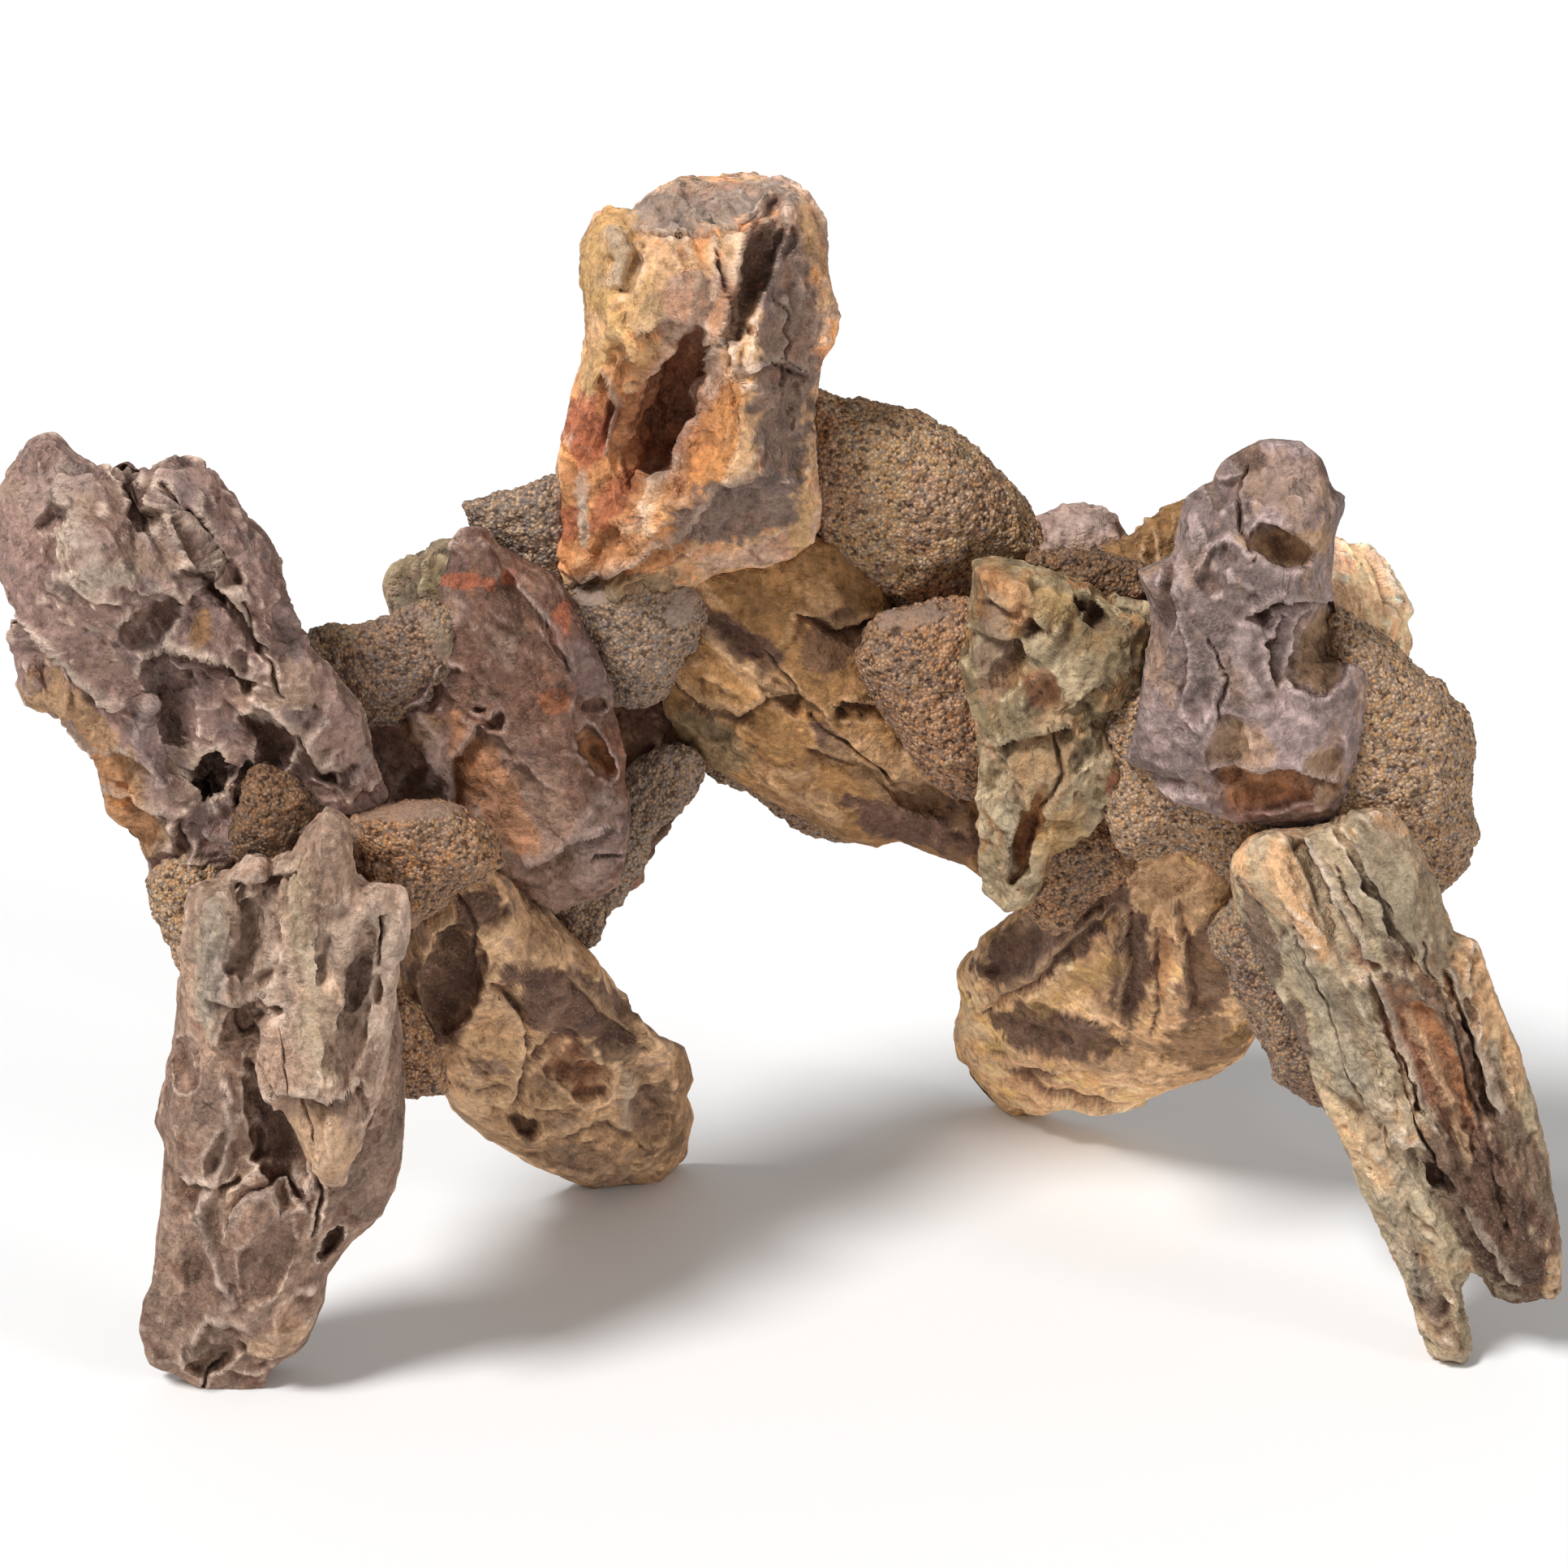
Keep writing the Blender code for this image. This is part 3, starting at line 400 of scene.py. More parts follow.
def fading_ends(share: np.ndarray, length: float) -> np.ndarray:
    """1 along the middle of a path, and down to 0 over a length at each of its ends."""
    return ramp(share, 0.0, length) * ramp(1.0 - share, 0.0, length)


def ahead(heading: float) -> np.ndarray:
    """Unit step on the sheet in a heading in degrees: 0 to the right, 90 up."""
    return np.array((math.cos(math.radians(heading)), -math.sin(math.radians(heading))))


@dataclass(frozen=True)
class Patch:
    """A long round patch on the sheet: its middle, half sizes and heading in degrees."""

    right: float
    down: float
    long_half: float
    short_half: float
    heading: float

    def reach(self, spots: np.ndarray) -> np.ndarray:
        """How far out spots lie on the patch.

        Args:
            spots: (right, down) on the sheet, one row each.

        Returns:
            0 in the middle, 1 on the edge.
        """
        ray = spots - np.array((self.right, self.down))
        run, across = ray @ ahead(self.heading), ray @ ahead(self.heading - 90.0)
        return np.hypot(run / self.long_half, across / self.short_half)


@dataclass(frozen=True)
class Facet:
    """A flat break: the skin stays under a level that falls away in a heading."""

    right: float
    down: float
    heading: float
    level: float
    fall: float

    def height(self, spots: np.ndarray) -> np.ndarray:
        """Level of the break over each spot, in mm."""
        run = (spots - np.array((self.right, self.down))) @ ahead(self.heading)
        return self.level - self.fall * run


@dataclass(frozen=True)
class Hollow(Patch):
    """A scooped hollow with a crisp rim, and the colour of its inside, which in dark tones is painted shade.
    """

    depth: float
    tone: Tone | None = None
    fullness: float = 0.65

    def scooped(self, spots: np.ndarray) -> np.ndarray:
        """Depth taken away at each spot: depth times (1 - reach squared) to the power fullness."""
        return self.depth * np.clip(1.0 - self.reach(spots) ** 2, 0.0, 1.0) ** self.fullness


@dataclass(frozen=True)
class Ledge:
    """A broken step: the skin drops on the right-hand side of a path and climbs back slowly."""

    path: Path
    drop: float
    run: float = 9.0
    rise: float = 0.4
    step: Spot = (-0.1, 0.4)
    rim_band: Spot = (-2.4, -0.2)

    def taken(self, spots: np.ndarray) -> np.ndarray:
        """Depth taken away: full just past the path, less with distance and at both ends.

        Short of the path the skin rises towards the edge by a share of the drop.

        Args:
            spots: (right, down) on the sheet, one row each.

        Returns:
            Depth for each spot, in mm.
        """
        gap, share = path_distance(spots, self.path)
        ends = fading_ends(share, 0.12)
        beyond = ramp(gap, *self.step)
        fade = np.exp(-np.abs(gap) / self.run)
        return self.drop * fade * (beyond - self.rise * (1.0 - beyond)) * ends

    def rim(self, spots: np.ndarray) -> np.ndarray:
        """Where the pale broken edge is painted as a highlight, just short of the step.

        Args:
            spots: (right, down) on the sheet, one row each.

        Returns:
            A share from 0 to 1 for each spot.
        """
        gap, share = path_distance(spots, self.path)
        return ramp(gap, *self.rim_band) * ramp(-gap, -0.6, 0.0) * fading_ends(share, 0.1)


@dataclass(frozen=True)
class Crack:
    """A narrow groove along a path."""

    path: Path
    width: float
    depth: float
    slimmest: float = 0.35

    def share(self, spots: np.ndarray) -> np.ndarray:
        """Where the groove is, narrowing to both ends.

        Args:
            spots: (right, down) on the sheet, one row each.

        Returns:
            1 in the middle of the groove, 0 outside.
        """
        gap, share = path_distance(spots, self.path)
        slim = self.slimmest + (1.0 - self.slimmest) * np.sin(np.pi * np.clip(share, 0.0, 1.0))
        return np.clip(1.0 - np.abs(gap) / (self.width * slim), 0.0, 1.0)


@dataclass(frozen=True)
class Ridge:
    """A raised rib along a path, with its own colour."""

    path: Path
    width: float
    height: float
    tone: Tone | None = None

    def share(self, spots: np.ndarray) -> np.ndarray:
        """Where the rib is: 1 on the crest, falling to 0 over the width and at both ends."""
        gap, share = path_distance(spots, self.path)
        return np.exp(-((gap / self.width) ** 2)) * fading_ends(share, 0.15)


@dataclass(frozen=True)
class Stain(Patch):
    """A patch of another colour with a ragged edge."""

    tone: Tone
    strength: float = 0.8
    raggedness: float = 0.55

    def share(self, spots: np.ndarray, ragged: np.ndarray) -> np.ndarray:
        """Strength inside the patch, where the ragged noise shifts its edge."""
        return self.strength * ramp(-(self.reach(spots) + self.raggedness * ragged), -1.06, -0.88)


class Grade(Enum):
    """How coarsely a stone breaks: (size, height) of its bowls and of its flat slabs, in mm."""

    RUGGED = (((16.0, 1.3), (6.5, 0.4)), ((14.0, 3.0), (6.0, 1.1)))
    BLOCKY = (((16.0, 0.8), (6.0, 0.25)), ((15.0, 2.4), (6.5, 0.8)))
    SMOOTH = (((19.0, 0.7), (7.0, 0.15)), ((19.0, 1.8), (7.5, 0.45)))


@dataclass(frozen=True)
class Fracture:
    """How a kind of stone breaks: grades of its bowls and slabs, then strata and grit, in mm.

    Sizes are widths along the skin, while lumps, strata, grit and pits are heights. The long way
    is the heading in degrees along which bowls, slabs and strata are stretched.
    """

    bowls: Grade = Grade.RUGGED
    long_way: float = 90.0
    stretch: float = 1.6
    lumps: float = 0.9
    strata: float = 0.7
    strata_size: float = 7.0
    strata_stretch: float = 4.0
    grit: float = 0.1
    pits: float = 0.4
    slabs: Grade = Grade.RUGGED
    bowl_strength: float = 2.8
    bend: float = 2.5
    bend_size: float = 11.0
    lump_size: float = 24.0
    strata_patch_size: float = 20.0
    pit_size: float = 2.4
    grit_size: float = 1.3


@dataclass(frozen=True)
class Speckle:
    """Cloudy noise: width of its largest clouds in metres, finer sizes and their strength."""

    size: float
    detail: float
    roughness: float


class Recipe:
    """A material under construction: one matte shader and the nodes that feed it."""

    def __init__(self, name: str, roughness: float) -> None:
        """Start the material.

        Args:
            name: the material's name.
            roughness: roughness of the whole surface.
        """
        self.material = bpy.data.materials.new(name)
        self.material.use_nodes = True
        self.tree = self.material.node_tree
        self.shader = self.tree.nodes["Principled BSDF"]
        self.shader.inputs["Roughness"].default_value = roughness
        self.shader.inputs["Specular IOR Level"].default_value = DULL_SHEEN

    def feed(self, socket: Socket, value: object) -> None:
        """Wire another node's output to an input, or set the input to a constant.

        Args:
            socket: the input.
            value: an output, or the constant.
        """
        if isinstance(value, Socket):
            self.tree.links.new(value, socket)
        else:
            socket.default_value = value

    def add(self, kind: str, sockets: dict, **settings: object) -> bpy.types.Node:
        """A new node.

        Args:
            kind: its type, without Blender's prefix.
            sockets: an output or a constant for each input, by name or number.
            settings: its other settings.

        Returns:
            The node.
        """
        node = self.tree.nodes.new("ShaderNode" + kind)
        for name, value in settings.items():
            setattr(node, name, value)
        for socket, value in sockets.items():
            self.feed(node.inputs[socket], value)
        return node

    def place(self) -> Socket:
        """Object coordinates, in metres."""
        return self.add("TexCoord", {}).outputs["Object"]

    def painted(self, name: str, output: str = "Color") -> Socket:
        """What was painted on the points under a name."""
        return self.add("Attribute", {}, attribute_name=name).outputs[output]

    def noise(self, place: Socket, kind: Speckle, output: str = "Fac") -> Socket:
        """Clouds of one speckle kind, around 0.5."""
        sockets = {"Vector": place, "Scale": 1.0 / kind.size, "Detail": kind.detail}
        return self.add("TexNoise", {**sockets, "Roughness": kind.roughness}).outputs[output]

    def spread(self, value: Socket, source: Spot, target: Spot) -> Socket:
        """A value moved from one range to another and held inside it."""
        ends = {"From Min": source[0], "From Max": source[1], "To Min": target[0], "To Max": target[1]}
        return self.add("MapRange", {"Value": value, **ends}).outputs["Result"]

    def scaled(self, value: Socket, factor: float, more: object) -> Socket:
        """A value times a factor, plus more."""
        return self.add("Math", {0: value, 1: factor, 2: more}, operation="MULTIPLY_ADD").outputs[0]

    def times(self, colour: Socket, factor: Socket) -> Socket:
        """A colour multiplied by a number or another colour."""
        sockets = {0: 1.0, 6: colour, 7: factor}
        return self.add("Mix", sockets, data_type="RGBA", blend_type="MULTIPLY").outputs[2]

    def laid(self, share: Socket, under: Socket, over: Tone) -> Socket:
        """A tone laid over a colour by a share from 0 to 1."""
        sockets = {0: share, 6: under, 7: (*over.value, 1.0)}
        return self.add("Mix", sockets, data_type="RGBA").outputs[2]

    def leaning_chips(self, place: Socket, size: float) -> tuple[Socket, Socket]:
        """Flat chips for a bump: in each random cell a plane that leans its own way.

        The height is (place - cell's middle) times (cell's random colour - a half).

        Args:
            place: output with the position.
            size: width of a cell, in metres.

        Returns:
            Outputs with the height in metres and with a random number of each cell.
        """
        cells = self.add("TexVoronoi", {"Vector": place, "Scale": 1.0 / size}).outputs
        sockets = {0: place, 1: cells["Position"]}
        ray = self.add("VectorMath", sockets, operation="SUBTRACT").outputs[0]
        sockets = {0: cells["Color"], 1: (0.5, 0.5, 0.5)}
        lean = self.add("VectorMath", sockets, operation="SUBTRACT").outputs[0]
        level = self.add("VectorMath", {0: ray, 1: lean}, operation="DOT_PRODUCT").outputs["Value"]
        return level, self.add("SeparateColor", {"Color": cells["Color"]}).outputs["Green"]

    def finished(
        self, colour: Socket, height: Socket, strength: object, reach: float
    ) -> bpy.types.Material:
        """The material, once its colour and its bump are wired to the shader.

        Args:
            colour: the body colour.
            height: height of the bump.
            strength: strength of the bump.
            reach: metres for one unit of height.

        Returns:
            The material.
        """
        bump = self.add("Bump", {"Height": height, "Strength": strength, "Distance": reach})
        self.feed(self.shader.inputs["Base Color"], colour)
        self.feed(self.shader.inputs["Normal"], bump.outputs["Normal"])
        return self.material


@dataclass(frozen=True)
class StoneFinish:
    """Colours of one kind of stone, sizes of its patches in mm and of its finest relief in m."""

    base: Tone
    second: Tone
    third: Tone
    # The rim tone is a painted highlight on convex edges and ledge rims. It is also the colour of dust and
    # of ribs that have no tone of their own.
    rim: Tone
    # Painted shade for creases, hollows and cracks.
    cavity: Tone = Tone.UMBER
    bloom: Tone = Tone.RUST
    bloom_share: float = 0.35
    # Strength of the painted highlight on edges.
    rim_share: float = 0.8
    lightness: float = 1.3
    roughness: float = 0.88
    drift: Spot = (14.0, 5.0)
    second_size: float = 17.0
    third_size: float = 9.0
    bloom_size: float = 12.0
    speck_size: float = 2.2
    speck_contrast: float = 0.22
    slab_contrast: Spot = (0.34, 0.2)
    grain: Speckle = Speckle(1.0 / 420.0, 5.0, 0.75)
    grain_height: float = 0.0007
    warp: Speckle = Speckle(1.0 / 260.0, 3.0, 0.6)
    warp_reach: float = 0.004
    dust: Speckle = Speckle(1.0 / 1500.0, 2.0, 0.6)
    chips: tuple[Spot, ...] = ((0.0055, 0.9), (0.0021, 0.8))

    def paint(
        self, points: np.ndarray, bulges: tuple[np.ndarray, ...], picks: tuple[np.ndarray, ...], salt: int
    ) -> np.ndarray:
        """Body colours: patches of three tones, painted highlights on edges, painted shade in creases.

        Args:
            points: positions, one row each.
            bulges: how far each point stands out of its closest, its near and its wide
                surroundings, the first two against their usual spread and the last in mm.
            picks: random numbers of each point's broken planes, large and middling.
            salt: which family of random numbers.

        Returns:
            One linear colour for each point.
        """
        width, reach = self.drift
        drift = points + reach * np.stack([waves(points, width, salt + n, 2) for n in (1, 2, 3)], axis=1)
        first = waves(drift, self.second_size, salt + 4, 4, 0.6)
        other = waves(drift, self.third_size, salt + 9, 4, 0.6)
        speck = waves(points, self.speck_size, salt + 14, 3, 0.7)
        large, small = picks[0] - 0.5, picks[1] - 0.5
        edge, bulge, broad = bulges
        colour = np.tile(self.base.rgb, (len(points), 1))
        colour = blended(colour, self.second.rgb, ramp(first + 0.25 * speck + 0.5 * large, -0.1, 0.3))
        share = 0.85 * ramp(other + 0.3 * speck + 0.3 * small, 0.08, 0.36)
        colour = blended(colour, self.third.rgb, share)
        rusty = ramp(waves(drift, self.bloom_size, salt + 21, 4, 0.6) + 0.3 * speck, 0.12, 0.42)
        colour = blended(colour, self.bloom.rgb, self.bloom_share * rusty)
        colour = colour * (1.0 + self.slab_contrast[0] * large + self.slab_contrast[1] * small)[:, None]
        # Painted highlight: the rim tone laid on convex edges, wide and thin, stronger in some patches.
        highlight_patches = 0.45 + 0.55 * ramp(first - other, -0.4, 0.3)
        pale = ramp(bulge + 0.3 * speck, 0.7, 2.4) * highlight_patches
        colour = blended(colour, self.rim.rgb, self.rim_share * pale)
        thin = ramp(edge + 0.3 * speck, 0.9, 2.4) * highlight_patches
        colour = blended(colour, self.rim.rgb * 1.1, self.rim_share * thin)
        # Painted shade: the cavity tone laid into creases and into near and wide hollows.
        colour = blended(colour, self.cavity.rgb, 0.6 * ramp(-bulge + 0.3 * speck, 0.7, 2.8))
        colour = blended(colour, self.cavity.rgb, 0.6 * ramp(-edge, 1.0, 3.0))
        colour = blended(colour, self.cavity.rgb, 0.75 * ramp(-broad, 0.35, 2.6))
        return colour * (self.lightness * (1.0 + self.speck_contrast * speck))[:, None]

    def material(self, name: str, long_way: float, stretch: float) -> bpy.types.Material:
        """A matte material that reads the painted tone and adds flat chips, fine grain and grit.

        Args:
            name: the material's name.
            long_way: heading in degrees along which the chips run long.
            stretch: how much longer than wide they are.

        Returns:
            The new material.
        """
        recipe = Recipe(name, self.roughness)
        place = recipe.place()
        grain = recipe.noise(place, self.grain)
        turn = (0.0, math.radians(90.0 - long_way), 0.0)
        sockets = {"Vector": place, "Rotation": turn, "Scale": (1.0, 1.0, stretch)}
        along = recipe.add("Mapping", sockets, vector_type="TEXTURE").outputs["Vector"]
        sockets = {0: recipe.noise(place, self.warp, "Color"), 1: (self.warp_reach,) * 3, 2: along}
        bent = recipe.add("VectorMath", sockets, operation="MULTIPLY_ADD").outputs[0]
        height, chip = 0.0, None
        for size, lean in self.chips:
            level, number = recipe.leaning_chips(bent, size)
            height = recipe.scaled(level, lean, height)
            chip = chip or number
        tinted = recipe.times(recipe.painted("tone"), recipe.spread(grain, (0.3, 0.7), (0.55, 1.45)))
        tinted = recipe.times(tinted, recipe.spread(chip, (0.0, 1.0), (0.82, 1.18)))
        dust = recipe.spread(recipe.noise(place, self.dust), (0.56, 0.7), (0.0, 0.32))
        height = recipe.scaled(grain, self.grain_height, height)
        return recipe.finished(recipe.laid(dust, tinted, self.rim), height, 1.0, 1.0)


@dataclass(frozen=True)
class SandFinish:
    """Sand grains stuck on mortar: tones of the grains, and sizes in mm."""

    light: Tone = Tone.SAND_LIGHT
    middle: Tone = Tone.SAND
    warm: Tone = Tone.SAND_WARM
    dark: Tone = Tone.SAND_DARK
    mortar: Tone = Tone.SAND_GREY
    brightness: float = 1.0
    grain_size: float = 0.9
    grain_height: float = 0.6
    cloud_size: float = 16.0
    dull: tuple[float, float, float] = (0.92, 0.874, 0.874)
    glow: tuple[float, float, float] = (1.265, 1.058, 0.92)
    roughness: float = 0.92

    def paint(self, points: np.ndarray, bulge: np.ndarray, broad: np.ndarray, salt: int) -> np.ndarray:
        """A tint for the sand at each point, that the grains are multiplied with.

        Clouds run from a dull grey to a warm orange. Hollows are darkened as painted shade, and
        bulges lightened as painted highlight.

        Args:
            points: positions, one row each.
            bulge: how far each point stands out of its near surroundings, in mm.
            broad: the same for its wider surroundings.
            salt: which family of random numbers.

        Returns:
            One linear tint for each point.
        """
        cloud = ramp(waves(points, self.cloud_size, salt + 3, 3), -0.4, 0.4)
        dull, glow = np.array(self.dull), np.array(self.glow)
        tint = dull + (glow - dull) * cloud[:, None]
        # Painted shade: darker in near and wide hollows.
        shade = (1.0 - 0.45 * ramp(-bulge, 0.05, 0.4)) * (1.0 - 0.5 * ramp(-broad, 0.3, 2.0))
        # Painted highlight: lighter where the dab bulges out.
        shade = shade * (1.0 + 0.22 * ramp(broad, 0.2, 1.2))
        return tint * (self.brightness * shade)[:, None]

    def material(self, name: str) -> bpy.types.Material:
        """Random grain cells, each with its own tone and painted shade at its edge; smooth grey mortar where
        bare.

        Args:
            name: the material's name.

        Returns:
            The new material.
        """
        recipe = Recipe(name, self.roughness)
        sockets = {"Vector": recipe.place(), "Scale": 1.0 / (self.grain_size * MM)}
        grains = recipe.add("TexVoronoi", sockets).outputs
        number = recipe.add("SeparateColor", {"Color": grains["Color"]}).outputs["Red"]
        tones = recipe.add("ValToRGB", {"Fac": number})
        tones.color_ramp.interpolation = "CONSTANT"
        stops = tones.color_ramp.elements
        steps = ((0.0, self.dark), (0.14, self.middle), (0.42, self.warm), (0.66, self.light))
        for index, (spot, tone) in enumerate((*steps, (0.88, self.mortar))):
            stop = stops[index] if index < len(stops) else stops.new(spot)
            stop.position = spot
            stop.color = (*tone.value, 1.0)
        far = grains["Distance"]
        # Painted shade: each grain is lighter in its middle and darker towards the gaps between grains.
        sand = recipe.times(tones.outputs["Color"], recipe.spread(far, (0.25, 0.8), (1.15, 0.6)))
        bare = recipe.painted("bare", "Fac")
        colour = recipe.times(recipe.laid(bare, sand, Tone.BARE), recipe.painted("tone"))
        dome = recipe.spread(far, (0.0, 0.8), (1.0, 0.0))
        return recipe.finished(colour, dome, recipe.scaled(bare, -0.6, 1.0), self.grain_height * MM)


GREY_SAND = SandFinish(Tone.SAND, Tone.SAND_GREY, Tone.SAND, Tone.SAND_DARK, Tone.SAND_GREY)
PALE_SAND = replace(GREY_SAND, light=Tone.SAND_LIGHT)


@dataclass
class Skin:
    """A closed surface of quads, with the sheet spot, reach and side of each point."""

    points: np.ndarray
    quads: np.ndarray
    spots: np.ndarray
    reach: np.ndarray
    front: np.ndarray

    def normals(self) -> np.ndarray:
        """Outward unit normals: the cross products of the quads' diagonals, summed at corners.

        Returns:
            One row for each point.
        """
        corner = self.points[self.quads]
        across = np.cross(corner[:, 2] - corner[:, 0], corner[:, 3] - corner[:, 1])
        total = np.zeros_like(self.points)
        for place in range(4):
            for axis in range(3):
                total[:, axis] += np.bincount(self.quads[:, place], across[:, axis], len(self.points))
        return total / np.maximum(np.linalg.norm(total, axis=1), 1e-9)[:, None]

    def evened(self, values: np.ndarray, rounds: int) -> np.ndarray:
        """Values blurred over the surface: each point takes the mean of itself and its neighbours.

        Args:
            values: one row of numbers for each point.
            rounds: how many times the blur is done.

        Returns:
            The blurred rows.
        """
        starts = self.quads.ravel()
        ends = np.roll(self.quads, -1, axis=1).ravel()
        first, last = np.concatenate((starts, ends)), np.concatenate((ends, starts))
        count = np.bincount(first, minlength=len(values))[:, None]
        for _ in range(rounds):
            total = np.stack(
                [np.bincount(first, values[last, axis], len(values)) for axis in range(values.shape[1])],
                axis=1,
            )
            values = 0.5 * values + 0.5 * total / count
        return values

    def broad_normals(self, rounds: int) -> np.ndarray:
        """Normals of the surface after it was blurred, which pass smoothly over ledges."""
        return replace(self, points=self.evened(self.points, rounds)).normals()

    def bulge(self, rounds: int) -> np.ndarray:
        """How far each point stands out of the blurred surface, in mm."""
        return np.sum((self.points - self.evened(self.points, rounds)) * self.normals(), axis=1)


def disc_grid(count: int) -> tuple[np.ndarray, np.ndarray]:
    """A square grid laid over a disc, ring by ring.

    Squares around the middle become rings: the larger of two coordinates is the ring's radius,
    and the other one runs along a quarter of the ring.

    Args:
        count: points along one side of the square.

    Returns:
        Radius from 0 to 1 and turn from 0 to 1 for each grid point.
    """
    line = np.linspace(-1.0, 1.0, count)
    across, along = np.meshgrid(line, line, indexing="ij")
    wide = np.abs(across) >= np.abs(along)
    radius = np.where(wide, np.abs(across), np.abs(along))
    safe = np.maximum(radius, 1e-9)
    quarter = np.where(wide, along / safe * np.sign(across), -across / safe * np.sign(along))
    start = np.where(wide, np.where(across > 0.0, 0.0, 0.5), np.where(along > 0.0, 0.25, 0.75))
    turn = np.mod(start + quarter / 8.0, 1.0)
    return radius.ravel(), turn.ravel()


def disc_quads(count: int) -> np.ndarray:
    """Corner numbers of the grid's quads.

    Args:
        count: points along one side of the square.

    Returns:
        One row of four numbers for each quad.
    """
    index = np.arange(count * count).reshape(count, count)
    return np.stack(
        (index[:-1, :-1], index[1:, :-1], index[1:, 1:], index[:-1, 1:]), axis=-1
    ).reshape(-1, 4)


def each(kind: type, rows: tuple) -> tuple:
    """One object of a kind for each row of its values, where a text names a tone."""
    return tuple(kind(*(Tone[part] if isinstance(part, str) else part for part in row)) for row in rows)


def placed(name: str, data: bpy.types.ID) -> bpy.types.Object:
    """A new object at the origin, in the scene.

    Args:
        name: its name.
        data: its mesh, light or camera.

    Returns:
        The object.
    """
    thing = bpy.data.objects.new(name, data)
    bpy.context.scene.collection.objects.link(thing)
    return thing


@dataclass(eq=False)
class Piece:
    """One stone or dab of mortar: its drawing on the sheet and how it swells, in mm.

    The outline is drawn around the heart, which lies at y = away in raw sheet space. Front and
    back say how far the skin swells there, lean and turn how the middle surface tilts, and
    square how boxy the swelling is. Facets, hollows and the like are rows of their values. A
    break leaves at least a share of the swelling and has a crease of some width. Normal blur
    and surroundings are rounds of blur over neighbouring points.
    """

    outline: Path
    heart: Spot
    away: float
    front: float
    back: float
    lean: float = 0.0
    turn: float = 0.0
    square: float = 3.2
    facets: tuple = ()
    hollows: tuple = ()
    spacing: float = 0.62
    roundness: float = 0.45
    deepest_cut: float = 0.55
    fewest_points: int = 60
    most_points: int = 215
    wander: float = 2.2
    wander_size: float = 9.0
    back_breaks: int = 3
    back_scoops: int = 2
    smallest_scooped: float = 24.0
    front_break: Spot = (0.25, 0.8)
    back_break: Spot = (0.2, 1.2)
    normal_blur: int = 60
    surroundings: tuple[int, ...] = (2, 9, 70)
    finish: StoneFinish | SandFinish = SandFinish()
    name: str = ""

    def __post_init__(self) -> None:
        """Turn the rows into facets and hollows."""
        self.facets = each(Facet, self.facets)
        self.hollows = each(Hollow, self.hollows)

    @property
    def salt(self) -> int:
        """A number of the piece's own for its random patterns."""
        return zlib.crc32(self.name.encode()) % 100000

    @property
    def anchor(self) -> np.ndarray:
        """The point of the middle surface under the heart.

        Returns:
            Its (x, y, z) in raw sheet space.
        """
        heart = np.array([self.heart])
        depth = SHEET.depth_on_plane(heart, self.away, np.zeros(3), 0.0, 0.0)
        return SHEET.place(heart, depth)[0]

    def middle(self, spots: np.ndarray) -> np.ndarray:
        """Depth of the middle surface under each spot."""
        return SHEET.depth_on_plane(spots, self.away, self.anchor, self.lean, self.turn)

    def ring(self, turns: np.ndarray) -> np.ndarray:
        """Spots on the outline: straight sides mixed with a smooth curve through the corners.

        Args:
            turns: shares from 0 to 1 of the way round.

        Returns:
            One spot for each share.
        """
        corners = np.array(self.outline)
        steps = 12
        part = (np.arange(steps) / steps)[None, :, None]
        before, after = np.roll(corners, 1, 0)[:, None], np.roll(corners, -1, 0)[:, None]
        beyond, here = np.roll(corners, -2, 0)[:, None], corners[:, None]
        curve = 0.5 * (
            2.0 * here
            + (after - before) * part
            + (2.0 * before - 5.0 * here + 4.0 * after - beyond) * part**2
            + (3.0 * here - before - 3.0 * after + beyond) * part**3
        )
        straight = here + (after - here) * part
        line = (straight + (curve - straight) * self.roundness).reshape(-1, 2)
        line = np.vstack((line, line[:1]))
        run = np.concatenate(([0.0], np.cumsum(np.hypot(*np.diff(line, axis=0).T))))
        share = turns * run[-1]
        return np.stack([np.interp(share, run, line[:, axis]) for axis in range(2)], axis=1)

    def profile(self, radius: np.ndarray, size: float) -> tuple[np.ndarray, np.ndarray]:
        """Reach and swelling along the skin, evenly spaced from the heart to the outline.

        The profile is the curve reach to the power square + height squared = 1.

        Args:
            radius: shares from 0 at the heart to 1 at the outline.
            size: the full swelling.

        Returns:
            The reach from 0 to 1 and the height in mm, for each radius.
        """
        angle = np.linspace(0.0, math.pi / 2.0, 600)
        reach = np.sin(angle) ** (2.0 / self.square)
        height = np.cos(angle)
        rays = np.array(self.outline) - np.array(self.heart)
        mean = float(np.mean(np.hypot(rays[:, 0], rays[:, 1])))
        steps = np.hypot(np.diff(reach) * mean, np.diff(height) * size)
        run = np.concatenate(([0.0], np.cumsum(steps)))
        share = radius * run[-1]
        return np.interp(share, run, reach), np.interp(share, run, height) * size

    def span(self, heading: float) -> float:
        """Distance on the sheet from the heart to the outline.

        Args:
            heading: the heading in degrees.

        Returns:
            The distance in mm.
        """
        ray = ahead(heading)
        corners = np.array(self.outline) - np.array(self.heart)
        best = 1.0
        for start, end in zip(corners, np.roll(corners, -1, axis=0)):
            side = end - start
            cross = ray[0] * side[1] - ray[1] * side[0]
            if abs(cross) > 1e-9:
                along = (start[0] * side[1] - start[1] * side[0]) / cross
                share = (start[0] * ray[1] - start[1] * ray[0]) / cross
                if along > 0.0 and -1e-6 <= share <= 1.0 + 1e-6:
                    best = along
        return best

